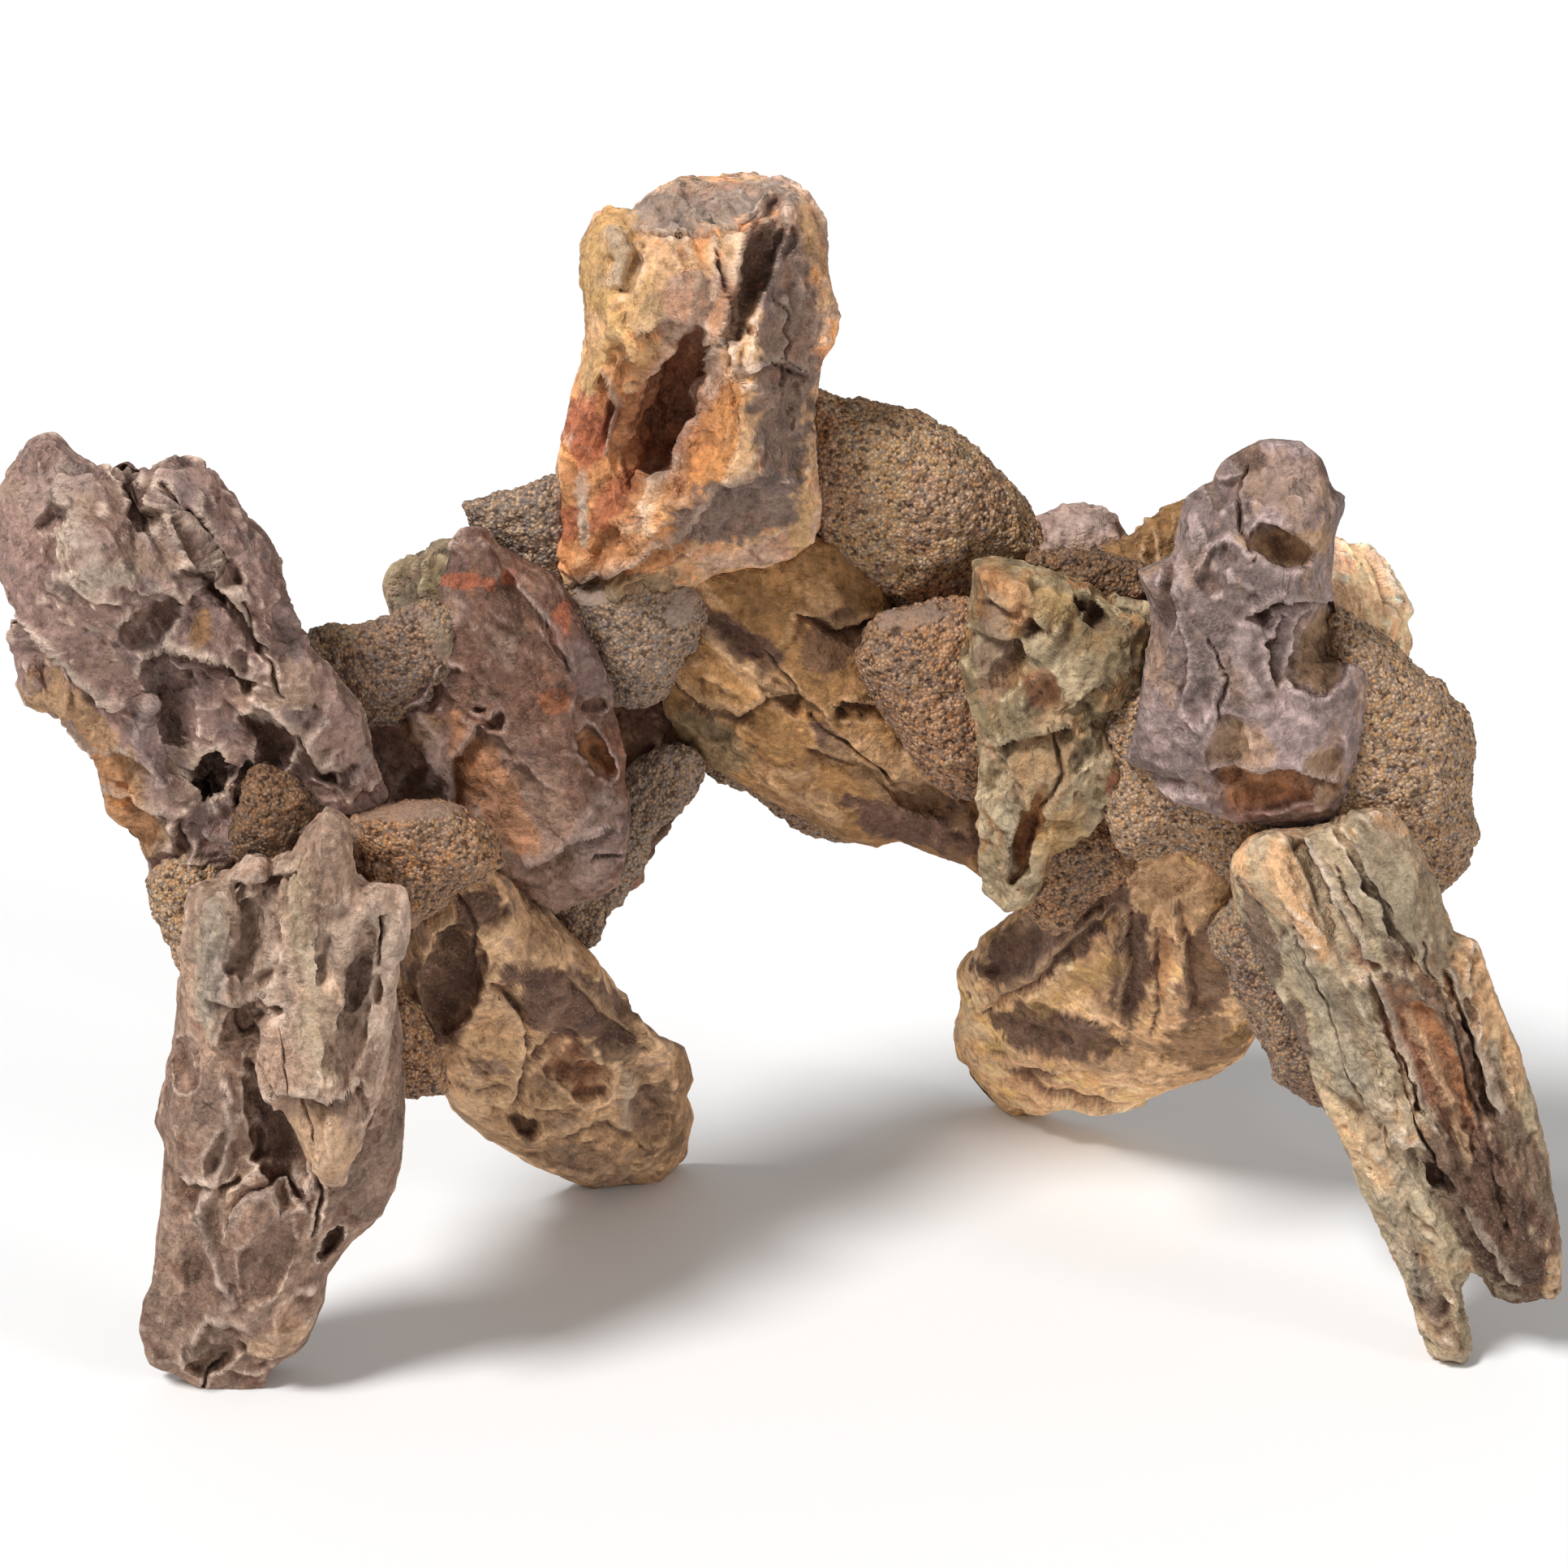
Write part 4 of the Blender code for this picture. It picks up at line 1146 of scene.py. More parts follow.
    def back_facets(self, dice: random.Random) -> list[Facet]:
        """Flat breaks for the back, the same as in the solids.

        Args:
            dice: the piece's random numbers.

        Returns:
            The breaks.
        """
        first = dice.uniform(0.0, 360.0)
        facets = []
        for index in range(self.back_breaks):
            heading = first + index * 360.0 / self.back_breaks + dice.uniform(-25.0, 25.0)
            height = self.back * dice.uniform(0.62, 0.82)
            rim_height = self.back * dice.uniform(0.18, 0.34)
            fall = (height - rim_height) / self.span(heading)
            facets.append(Facet(self.heart[0], self.heart[1], heading, height, fall))
        return facets

    def back_hollows(self, dice: random.Random) -> list[Hollow]:
        """Scoops for the back, the same as in the solids.

        Args:
            dice: the piece's random numbers.

        Returns:
            The scoops.
        """
        hollows = []
        for _ in range(self.back_scoops):
            heading = dice.uniform(0.0, 360.0)
            span = self.span(heading)
            if span < self.smallest_scooped:
                continue
            right, down = np.array(self.heart) + 0.5 * span * ahead(heading)
            long_half = min(15.0, span * dice.uniform(0.25, 0.4))
            short_half = long_half * dice.uniform(0.45, 0.65)
            tilt = heading + dice.uniform(-40.0, 40.0)
            hollows.append(Hollow(right, down, long_half, short_half, tilt, dice.uniform(6.0, 9.0)))
        return hollows

    def wandering(self, spots: np.ndarray) -> np.ndarray:
        """Spots shifted a little by noise, so that drawn edges come out broken and not ruled.

        Args:
            spots: (right, down) on the sheet, one row each.

        Returns:
            The shifted spots.
        """
        flat = np.column_stack((spots, np.zeros(len(spots))))
        salts = (self.salt + 31, self.salt + 32)
        shifts = [waves(flat, self.wander_size, salt, 3) for salt in salts]
        return spots + self.wander * np.stack(shifts, axis=1)

    def front_level(self, spots: np.ndarray, level: np.ndarray) -> np.ndarray:
        """Height of the front skin above the middle surface, after breaks and hollows.

        Args:
            spots: sheet spots, one row each.
            level: the unbroken swelling at each spot.

        Returns:
            The height at each spot.
        """
        moved = self.wandering(spots)
        left, crease = self.front_break
        for facet in self.facets:
            level = soft_lower(level, np.maximum(facet.height(moved), left * level), crease)
        for hollow in self.hollows:
            level = level - hollow.scooped(moved)
        return level

    def back_level(self, spots: np.ndarray, level: np.ndarray) -> np.ndarray:
        """Height of the back skin behind the middle surface."""
        return level

    def count(self) -> int:
        """Grid points along one side, from the size of the piece and its spacing.

        Returns:
            Their number.
        """
        wide, tall = np.ptp(np.array(self.outline), axis=0)
        span = 0.5 * (wide + tall + self.front)
        return int(min(self.most_points, max(self.fewest_points, span / self.spacing)))

    def skin(self) -> Skin:
        """The closed skin: a front grid and a back grid that share the points of the outline.

        Returns:
            The skin in raw sheet space, in mm.
        """
        count = self.count()
        radius, turns = disc_grid(count)
        ring = self.ring(turns)
        heart = np.array(self.heart)
        rim = radius > 1.0 - 1e-9
        sides = []
        for sign, size, behind_size in ((-1.0, self.front, self.back), (1.0, self.back, self.front)):
            reach, level = self.profile(radius, size)
            spots = heart + (ring - heart) * reach[:, None]
            shaped = self.front_level(spots, level) if sign < 0.0 else self.back_level(spots, level)
            deepest = self.deepest_cut * behind_size * level / size
            shaped = np.where(rim, 0.0, np.maximum(shaped, -deepest if sign < 0.0 else 0.1 * level))
            points = SHEET.place(spots, self.middle(spots) + sign * shaped)
            sides.append((points, spots, reach))
        quads = disc_quads(count)
        behind = np.where(rim, np.arange(count * count), 0)
        behind[~rim] = count * count + np.arange(np.count_nonzero(~rim))
        keep = ~rim
        front, back = sides
        return Skin(
            points=np.vstack((front[0], back[0][keep])),
            quads=np.vstack((quads[:, ::-1], behind[quads])),
            spots=np.vstack((front[1], back[1][keep])),
            reach=np.concatenate((front[2], back[2][keep])),
            front=np.concatenate((np.ones(count * count), np.zeros(np.count_nonzero(keep)))),
        )

    def roughened(self, skin: Skin) -> None:
        """Work the surface of the piece's own kind into the skin."""
        raise NotImplementedError

    def coloured(self, skin: Skin) -> dict[str, np.ndarray]:
        """The attributes that the material reads."""
        raise NotImplementedError

    def material(self) -> bpy.types.Material:
        """The piece's own material."""
        return self.finish.material(self.name)

    def build(self, shift: np.ndarray, low: np.ndarray, high: np.ndarray) -> bpy.types.Object:
        """Make the piece's object and set it in the place of its CAD node.

        Args:
            shift: from raw sheet space to the frame, in mm.
            low: lowest corner of the frame, in mm.
            high: highest corner of the frame, in mm.

        Returns:
            The finished object.
        """
        skin = self.skin()
        self.roughened(skin)
        masks = self.coloured(skin)
        points = np.clip(skin.points + shift, low, high) * MM
        mesh = bpy.data.meshes.new(self.name + "_skin")
        mesh.from_pydata(points.tolist(), [], skin.quads.tolist())
        mesh.polygons.foreach_set("use_smooth", np.ones(len(mesh.polygons), bool))
        for name, values in masks.items():
            if values.ndim == 2:
                shade = np.column_stack((np.clip(values, 0.0, 1.0), np.ones(len(values))))
                mesh.attributes.new(name, "FLOAT_COLOR", "POINT").data.foreach_set("color", shade.ravel())
            else:
                mesh.attributes.new(name, "FLOAT", "POINT").data.foreach_set("value", values)
        mesh.update()
        mesh.materials.append(self.material())
        piece = placed(self.name + "_skin", mesh)
        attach(piece, "root")
        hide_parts(self.name)
        LOG.info("%s: %d points, %d quads", self.name, len(points), len(skin.quads))
        return piece


@dataclass(eq=False)
class Stone(Piece):
    """A dragon stone with broken ledges, cracks, ribs and stains.

    Ledges, ribs and cracks are worked in relief times deeper than drawn. For each pair in
    crispness the skin is blurred so many rounds, and that share of what stands out of the
    blurred skin is added again. Hollows are painted darker the deeper they are, as painted
    shade, and from the full depth on take all of their tone.
    """

    finish: StoneFinish = StoneFinish(Tone.MAUVE, Tone.TAUPE, Tone.TAN, Tone.BEIGE)
    fracture: Fracture = Fracture()
    ledges: tuple = ()
    cracks: tuple = ()
    ridges: tuple = ()
    stains: tuple = ()
    relief: float = 1.8
    rim_calm: float = 0.35
    crispness: tuple[tuple[int, float], ...] = ((20, 0.6), (5, 0.8))
    most_push: float = 0.8
    full_depth: float = 7.0
    picks: tuple[np.ndarray, ...] = ()

    def __post_init__(self) -> None:
        """Turn the rows into ledges, cracks, ridges and stains too."""
        super().__post_init__()
        self.ledges = each(Ledge, self.ledges)
        self.cracks = each(Crack, self.cracks)
        self.ridges = each(Ridge, self.ridges)
        self.stains = each(Stain, self.stains)

    def front_level(self, spots: np.ndarray, level: np.ndarray) -> np.ndarray:
        """The front with its breaks and hollows, and then ledges, ribs and cracks.

        Args:
            spots: sheet spots, one row each.
            level: the unbroken swelling at each spot.

        Returns:
            The height at each spot.
        """
        level = super().front_level(spots, level)
        moved = self.wandering(spots)
        for ledge in self.ledges:
            level = level - self.relief * ledge.taken(moved)
        for ridge in self.ridges:
            level = level + self.relief * ridge.height * ridge.share(moved)
        for crack in self.cracks:
            level = level - self.relief * crack.depth * crack.share(moved)
        return level

    def back_level(self, spots: np.ndarray, level: np.ndarray) -> np.ndarray:
        """The back with its flat breaks and scoops.

        Args:
            spots: sheet spots, one row each.
            level: the unbroken swelling at each spot.

        Returns:
            The height at each spot.
        """
        dice = random.Random(self.name + " back")
        moved = self.wandering(spots)
        left, crease = self.back_break
        for facet in self.back_facets(dice):
            level = soft_lower(level, np.maximum(facet.height(moved), left * level), crease)
        for hollow in self.back_hollows(dice):
            level = level - hollow.scooped(moved)
        return level

    @property
    def along(self) -> np.ndarray:
        """Unit vector along which the strata run."""
        angle = math.radians(self.fracture.long_way)
        return np.array((math.cos(angle), 0.0, 0.0)) + SHEET.upward * math.sin(angle)

    def roughened(self, skin: Skin) -> None:
        """Bowls and slabs of several sizes, strata, lumps, pits and grit, all along the normals.

        At the end whatever stands out of its surroundings is pushed out further, so that edges
        come out crisp.

        Args:
            skin: the skin, which is changed.
        """
        kind, along = self.fracture, self.along
        normals = skin.broad_normals(self.normal_blur)
        points = skin.points
        salts = (self.salt + 60, self.salt + 61, self.salt + 62)
        drift = np.stack([waves(points, kind.bend_size, salt, 3) for salt in salts], axis=1)
        bent = points + kind.bend * drift
        long_run = stretched(bent, along, kind.stretch)
        lift = kind.lumps * waves(points, kind.lump_size, self.salt + 40, 2)
        picks = []
        for index, (size, height) in enumerate(kind.bowls.value[0]):
            level, _ = scallops(long_run, size, self.salt + 50 + 7 * index)
            lift += kind.bowl_strength * height * (level - 0.1)
        for index, (size, height) in enumerate(kind.slabs.value[1]):
            level, pick = plates(long_run, size, self.salt + 150 + 7 * index)
            lift += height * level
            picks.append(pick)
        self.picks = tuple(picks)
        thin = stretched(bent, along, kind.strata_stretch)
        layers = waves(thin, kind.strata_size, self.salt + 80, 3, 0.6)
        where = ramp(waves(points, kind.strata_patch_size, self.salt + 81, 2), -0.6, 0.2)
        lift += kind.strata * (0.6 - 2.4 * np.abs(layers)) * where
        lift -= kind.pits * ramp(waves(bent, kind.pit_size, self.salt + 90, 2), 0.3, 0.62)
        lift += kind.grit * waves(points, kind.grit_size, self.salt + 95, 2)
        lift = lift * (1.0 - self.rim_calm * ramp(skin.reach, 0.96, 1.0))
        lift = skin.evened(lift[:, None], 1)
        skin.points = skin.evened(points, 1) + normals * lift
        for rounds, share in self.crispness:
            stands_out = np.sum((skin.points - skin.evened(skin.points, rounds)) * normals, axis=1)
            push = share * np.clip(stands_out, -self.most_push, self.most_push)
            skin.points = skin.points + normals * push[:, None]

    def material(self) -> bpy.types.Material:
        """The finish, with chips that run long the same way as the strata."""
        return self.finish.material(self.name, self.fracture.long_way, self.fracture.stretch)

    def coloured(self, skin: Skin) -> dict[str, np.ndarray]:
        """Painted tones: the finish with painted highlights and shade, stains, hollows, ledge rims, ribs,
        cracks.

        Args:
            skin: the finished skin.

        Returns:
            The attributes by name.
        """
        edge, near, broad = (skin.bulge(rounds) for rounds in self.surroundings)
        bulges = (edge / np.std(edge), near / np.std(near), broad)
        grain = stretched(skin.points, self.along, min(self.fracture.stretch, 3.0))
        colour = self.finish.paint(grain, bulges, self.picks, self.salt)
        moved = self.wandering(skin.spots)
        ragged = waves(skin.points, 6.0, self.salt + 120, 4, 0.65)
        ahead = skin.front
        for stain in self.stains:
            tone = stain.tone.rgb * (1.0 + 0.25 * ragged)[:, None]
            colour = blended(colour, tone, stain.share(skin.spots, ragged) * ahead)
        for hollow in self.hollows:
            # Painted shade: each hollow gets its inside tone, and deeper in the cavity tone, more the deeper
            # it is; light inside tones are the hollow's own colour.
            reach = hollow.reach(moved) + 0.45 * ragged
            tone = (hollow.tone or self.finish.cavity).rgb * (1.0 + 0.3 * ragged)[:, None]
            depth = min(1.0, hollow.depth / self.full_depth) ** 1.5
            colour = blended(colour, tone, 0.7 * depth * ramp(-reach, -1.0, -0.45) * ahead)
            colour = blended(colour, self.finish.cavity.rgb, 0.5 * depth * ramp(-reach, -0.6, -0.1) * ahead)
        for ledge in self.ledges:
            # Painted highlight: a pale line of the rim tone just short of each ledge's step.
            colour = blended(colour, self.finish.rim.rgb, 0.6 * ledge.rim(moved) * ahead)
        for ridge in self.ridges:
            tone = (ridge.tone or self.finish.rim).rgb
            colour = blended(colour, tone, 0.6 * ridge.share(moved) * ahead)
        for crack in self.cracks:
            # Painted shade: the cavity tone laid along each crack.
            share = 0.7 * ramp(crack.share(moved), 0.15, 0.8) * ahead
            colour = blended(colour, self.finish.cavity.rgb, share)
        return {"tone": colour}


@dataclass(eq=False)
class Dab(Piece):
    """A dab of mortar, coated with sand, with smears where the mortar shows bare.

    Swells, lumps, crumbs and grains each have a width and a height, in mm.
    """

    square: float = 2.6
    roundness: float = 0.85
    spacing: float = 0.5
    finish: SandFinish = SandFinish()
    smears: tuple = ()
    normal_blur: int = 12
    surroundings: tuple[int, ...] = (6, 60)
    swells: Spot = (15.0, 1.3)
    lumps: Spot = (6.0, 1.1)
    crumbs: Spot = (3.4, 1.5)
    grains: Spot = (1.15, 0.8)

    def __post_init__(self) -> None:
        """Turn the rows into smears too."""
        super().__post_init__()
        self.smears = each(Stain, self.smears)

    def bareness(self, skin: Skin) -> np.ndarray:
        """Where the mortar shows bare.

        Args:
            skin: the skin.

        Returns:
            A share from 0 to 1 for each point.
        """
        ragged = waves(skin.points, 4.0, self.salt + 130, 3)
        bare = np.zeros(len(skin.points))
        for smear in self.smears:
            bare = np.maximum(bare, smear.share(skin.spots, ragged) * skin.front)
        return bare

    def roughened(self, skin: Skin) -> None:
        """Lumps of a few millimetres and domed grains of sand, along the normals.

        Args:
            skin: the skin, which is changed.
        """
        points = skin.points
        bare = self.bareness(skin)
        size, height = self.swells
        lift = height * waves(points, size, self.salt + 40, 2)
        size, height = self.lumps
        lift += height * waves(points, size, self.salt + 45, 3) * (1.0 - bare)
        for (size, height), salt, smoothing in ((self.crumbs, 48, 0.8), (self.grains, 50, 0.7)):
            domes, _ = scallops(points, size, self.salt + salt, 1.0, 0.0)
            lift += height * (0.3 - domes) * (1.0 - smoothing * bare)
        skin.points = points + skin.broad_normals(self.normal_blur) * lift[:, None]

    def coloured(self, skin: Skin) -> dict[str, np.ndarray]:
        """The sand's tint with painted shade in hollows and painted highlight on bulges, and the share of
        bare mortar.

        Args:
            skin: the finished skin.

        Returns:
            The attributes by name.
        """
        bulges = (skin.bulge(rounds) for rounds in self.surroundings)
        tone = self.finish.paint(skin.points, *bulges, self.salt)
        return {"tone": tone, "bare": self.bareness(skin)}


@dataclass
class Cluster:
    """A part of the arch that is built as one: each of its fields is a piece."""

    def pieces(self) -> list[Piece]:
        """All the pieces of this part of the arch, each named after its field.

        Returns:
            The pieces in order.
        """
        found = []
        for spot in fields(self):
            piece = getattr(self, spot.name)
            piece.name = spot.name
            found.append(piece)
        return found

    def build(self, shift: np.ndarray, low: np.ndarray, high: np.ndarray) -> None:
        """Build each piece and set it in the frame.

        Args:
            shift: from raw sheet space to the frame, in mm.
            low: lowest corner of the frame, in mm.
            high: highest corner of the frame, in mm.
        """
        for piece in self.pieces():
            piece.build(shift, low, high)


@dataclass
class LeftPillar(Cluster):
    """The left leg of the arch: six stones and the dabs that bond them."""

    # Pinkish slab with pale ribs and a toothed lower edge, in front of the left foot.
    left_middle_stone: Stone = Stone(
        outline=((76, 204), (80.5, 199), (85.5, 202.5), (87, 212), (90, 217.5), (99, 220), (99.5, 227),
            (98, 235), (97.5, 246), (95.5, 258), (93, 270), (89, 278), (86.5, 285), (84.5, 291),
            (80, 291), (74, 281), (70, 274.5), (66, 272), (65, 264), (62.5, 260), (51, 259), (49.5, 248),
            (45, 240), (45, 232), (47, 220), (54, 216), (61, 210.5), (67, 213), (73, 210)),
        heart=(75, 243), away=-78, front=15, back=16, square=4,
        facets=((55, 236, 190, 11, 0.5), (90, 250, 0, 11, 0.7)),
        hollows=((63, 228, 15, 7, 70, 6, "TAUPE"), (61, 253, 8, 6, 60, 5, "DARK_RUST"),
            (88, 240, 9, 4, 70, 3, "TAUPE"), (63, 237, 19, 6.5, 84, 4.5, "TAUPE"),
            (87, 247, 22, 4.5, 83, 4, "TAUPE"), (93, 243.5, 4, 1.6, 85, 3, "UMBER"),
            (80, 262, 5, 3, 70, 2.4, "TAUPE"), (68, 240, 4, 2.4, 40, 2, "TAUPE"),
            (88, 271, 4, 2, 80, 2.4, "DARK_RUST")),
        finish=StoneFinish(Tone.PINK_BROWN, Tone.PALE_PINK, Tone.TAUPE, Tone.PALE_PINK, Tone.UMBER,
            Tone.TAN, 0.3),
        fracture=Fracture(Grade.SMOOTH, 86, 2.6, 0.6, pits=0.15, slabs=Grade.BLOCKY),
        ledges=((((56, 218), (66, 216), (74, 214)), 2, 6),
            (((50, 245), (58, 247), (66, 244), (72, 250)), 2.2, 6),
            (((70, 268), (80, 272), (90, 266)), 1.6, 6)),
        cracks=((((93, 225), (93.5, 237)), 0.85, 1.7), (((70, 254), (72, 268), (78, 280)), 0.65, 1.1)),
        ridges=((((55, 219), (50, 235), (51, 258)), 2.6, 1.4, "PALE_GREEN"),
            (((75, 208), (73, 225), (77, 245), (79, 272)), 3.2, 1.9, "PALE_OLIVE"),
            (((97, 222), (96, 240), (94, 268)), 2.2, 1, "PALE_PINK")),
        stains=((79, 281, 9, 7, -60, "PALE_TAN", 0.6), (60, 236, 17, 4, 85, "TAUPE", 0.6),
            (86, 250, 20, 3.4, 84, "TAUPE", 0.5), (53, 240, 16, 3, 88, "GREY", 0.6),
            (84, 230, 12, 5, 80, "PINK_BROWN", 0.5)),
    )
    # Big scalloped mauve-brown stone at the upper left, leaning out.
    left_crest_stone: Stone = Stone(
        outline=((12.5, 108.5), (18, 113), (25, 117), (31.5, 114), (36.5, 117), (43, 113), (52.5, 116),
            (57.5, 121), (60, 128), (65.5, 134.5), (68.5, 146), (72, 155), (80.5, 166), (88, 177),
            (91, 187), (94.5, 196), (90, 200.5), (80, 199), (70, 194.5), (62, 190), (57.5, 198),
            (59.5, 207), (54, 215), (46, 218.5), (38, 216), (34, 207.5), (27.5, 200), (25, 187),
            (17, 177), (8, 172.5), (4.5, 161), (2, 157), (6.5, 150), (2, 141), (0.5, 126), (3, 116.5),
            (7.5, 110)),
        heart=(46, 168), away=-58, front=27, back=32, turn=0.12,
        facets=((22, 175, 215, 18, 0.9), (18, 125, 140, 16, 0.7), (52, 130, 45, 17, 0.8),
            (78, 182, -35, 15, 0.5), (44, 150, 250, 25, 0.35)),
        hollows=((51.5, 191, 8, 5.5, 75, 17, "SOOT"), (32.5, 122, 13, 5, -70, 10, "DEEP_MAUVE"),
            (42, 172, 13, 7, -70, 7, "DEEP_MAUVE"), (66, 182, 9, 6, -60, 8, "UMBER"),
            (50, 134, 15, 5, -55, 6, "UMBER"), (37, 152, 9, 6, 50, 5, "DARK_RUST"),
            (24, 190, 9, 4, -35, 3.5, "OCHRE"), (12, 166, 7, 3.5, -50, 3, "TAN"),
            (33, 206, 6, 3, -20, 3, "OCHRE"), (15, 128, 7, 3.4, 20, 2.4, "MAUVE"),
            (80, 190, 7, 3.5, -35, 3, "DEEP_MAUVE"), (60, 165, 7, 3, -60, 3, "DARK_RUST"),
            (45, 208, 5, 3, 60, 3, "UMBER")),
        finish=StoneFinish(Tone.MAUVE, Tone.TAUPE, Tone.SLATE, Tone.BEIGE, Tone.UMBER, Tone.DARK_RUST,
            0.35, lightness=1.48),
        fracture=Fracture(Grade.RUGGED, -52, 2, 0.9),
        ledges=((((4, 149), (15, 160), (20, 166), (25, 172), (32, 173)), 3.6, 9),
            (((43, 139), (50, 140.5), (58, 149), (67, 162)), 2.8, 7),
            (((39, 158), (50, 160), (65, 167)), 2.4, 6), (((12, 178), (24, 184), (34, 186)), 2, 5),
            (((20, 191), (32, 197), (44, 198)), 2, 5), (((60, 176), (72, 180), (84, 192)), 2, 5)),
        cracks=((((41, 120), (47, 130), (55, 149)), 1.6, 1.7),
            (((60, 149), (64, 160), (70, 171)), 0.91, 1.3),
            (((45, 200), (46, 203), (47.5, 207)), 0.65, 1.1)),
        ridges=((((14, 113), (20, 128), (27, 146)), 2.6, 1.2),
            (((34, 170), (35, 184), (42, 196)), 2, 1.6, "LILAC")),
        stains=((24, 188, 27, 9, -56, "TAN", 0.85), (27, 192, 18, 5, -56, "ORANGE", 0.5),
            (30.5, 196, 3.2, 2.6, 0, "BRIGHT_ORANGE", 0.85), (49.5, 155, 5, 2.6, 80, "OCHRE", 0.8),
            (17, 135, 6, 3.4, 40, "CREAM", 0.7), (25, 141, 8, 2.6, 5, "CREAM", 0.7),
            (38.5, 180, 10, 4.5, 100, "LILAC", 0.5), (12, 122, 9, 6, 30, "PALE_MAUVE", 0.5)),
    )
    # Hollowed taupe slab, the front left foot.
    left_foot_stone: Stone = Stone(
        outline=((57, 343.5), (50, 342), (43, 338.5), (37, 336), (35, 328), (36, 321), (38, 316),
            (39.5, 302), (41, 283), (38.5, 276), (39.5, 270), (42.5, 259), (43.5, 249), (44, 241),
            (53, 231), (68, 227), (85, 230), (96, 241), (99, 256), (99, 277), (97.5, 288), (94, 299),
            (87, 306), (81, 314), (79.5, 321), (75, 330), (70, 334.5), (66, 337.5), (64, 342)),
        heart=(66, 292), away=-64, front=18, back=28, lean=-0.05, square=3.6,
        facets=((50, 300, 195, 13, 0.45), (84, 290, -20, 13, 0.5), (62, 327, 265, 13, 0.9)),
        hollows=((68, 277, 22, 8, 100, 11, "UMBER"), (82, 306, 4.5, 3, 60, 6, "SOOT"),
            (53, 332, 9, 6, 20, 6, "UMBER"), (46, 262, 8, 4, 90, 5, "DARK_RUST"),
            (58, 284, 10, 6, 60, 5, "DARK_RUST"), (72.5, 324, 6, 3.5, 30, 3.4, "DARK_RUST"),
            (90, 270, 9, 3.4, 80, 3, "TAUPE"), (66, 310, 12, 6, 70, 3, "TAUPE")),
        finish=StoneFinish(Tone.TAUPE, Tone.PINK_BROWN, Tone.DARK_RUST, Tone.BEIGE, Tone.UMBER,
            Tone.DARK_RUST, 0.3),
        fracture=Fracture(Grade.SMOOTH, 70, 1.8, 0.5, 0.3, pits=0.15, slabs=Grade.SMOOTH),
        ledges=((((76, 300), (70, 290), (62, 294), (56, 304)), 1.4, 7),
            (((44, 290), (54, 292), (60, 288)), 1, 5)),
        cracks=((((50, 342), (53, 337), (56, 333)), 0.78, 1.3),
            (((76, 280), (80, 292), (76, 304)), 0.78, 1.1)),
        ridges=((((55, 260), (57, 280), (56, 286), (50, 296), (49, 299), (51, 306), (53, 312), (57, 320),
                (53, 327)), 1.3, 1.2), (((80, 262), (86, 276), (84, 290)), 2.2, 1.4)),
        stains=((50, 312, 13, 5.5, 80, "DARK_RUST", 0.6), (64, 306, 17, 9, 75, "DARK_RUST", 0.45),
            (88, 250, 10, 6, 60, "TAUPE", 0.5), (68, 330, 8, 4, 30, "PALE_TAN", 0.45)),
    )
    # Large smooth dark slab with rust-red patches and an orange slot.
    left_face_stone: Stone = Stone(
        outline=((115, 131), (119, 131), (129, 138.5), (136, 142), (140, 148), (146, 160), (151, 170),
            (151, 175), (154, 186), (153.5, 192), (154.5, 201), (154, 210), (151.5, 218), (146, 221.5),
            (137, 225), (130, 222), (121, 217), (110, 213), (99, 208), (92, 199), (90, 188), (88.5, 178),
            (91, 171), (98, 168.5), (99.5, 159), (104, 155.5), (108.5, 151), (110, 141), (112, 134)),
        heart=(123, 180), away=-30, front=15, back=28, square=4.2,
        facets=((143, 180, 10, 11, 0.9), (112, 150, 120, 12, 0.4), (97, 180, 190, 10, 0.6),
            (118, 206, 235, 13, 0.5)),
        hollows=((147, 186, 8, 4, -60, 7, "ORANGE"), (104, 199, 11, 8, 80, 5, "DARK_RUST"),
            (146.5, 174, 3, 2, 20, 3, "UMBER"), (118.5, 175, 1.8, 1.3, 0, 2, "SOOT"),
            (122.5, 178, 2.8, 1.8, 20, 2.4, "SOOT"), (130, 192, 5, 2.6, -50, 1.8, "DEEP_MAUVE")),
        finish=StoneFinish(Tone.DARK_RUST, Tone.DEEP_MAUVE, Tone.TAUPE, Tone.PALE_MAUVE, Tone.UMBER,
            Tone.RUST, 0.3, 0.4),
        fracture=Fracture(Grade.SMOOTH, -60, 1.5, 0.5, 0.3, pits=0.25, slabs=Grade.SMOOTH),
        ledges=((((111, 200), (112, 189), (118, 178)), 2.4, 7),
            (((96, 176), (104, 172), (110, 162)), 1.8, 6),
            (((128, 214), (138, 210), (150, 202)), 1.8, 6),
            (((124, 140), (134, 152), (142, 166)), 1.4, 7)),
        cracks=((((144, 212), (149, 211), (155, 210)), 0.78, 1.3),),
        ridges=((((100, 172), (108, 184), (106, 196)), 2.4, 1.2),),
        stains=((114, 143, 4.6, 2.2, 0, "RED", 0.85), (121, 144, 1.8, 1.6, 0, "RED", 0.8),
            (125.5, 142, 2.4, 2, 0, "RED", 0.8), (138, 153, 5.4, 2, 80, "RED", 0.8),
            (136.5, 173, 4, 3.2, 0, "RUST", 0.8), (104, 180, 4.6, 4, 0, "OCHRE", 0.75),
            (116, 193, 8, 3.4, 70, "ORANGE", 0.6), (130, 203, 26, 13, -55, "PINK_BROWN", 0.5),
            (122, 196, 20, 6, -60, "ORANGE", 0.45), (145.5, 165, 9, 5, -70, "LILAC", 0.45),
            (147, 207, 13, 6.5, 80, "PALE_MAUVE", 0.45)),
    )
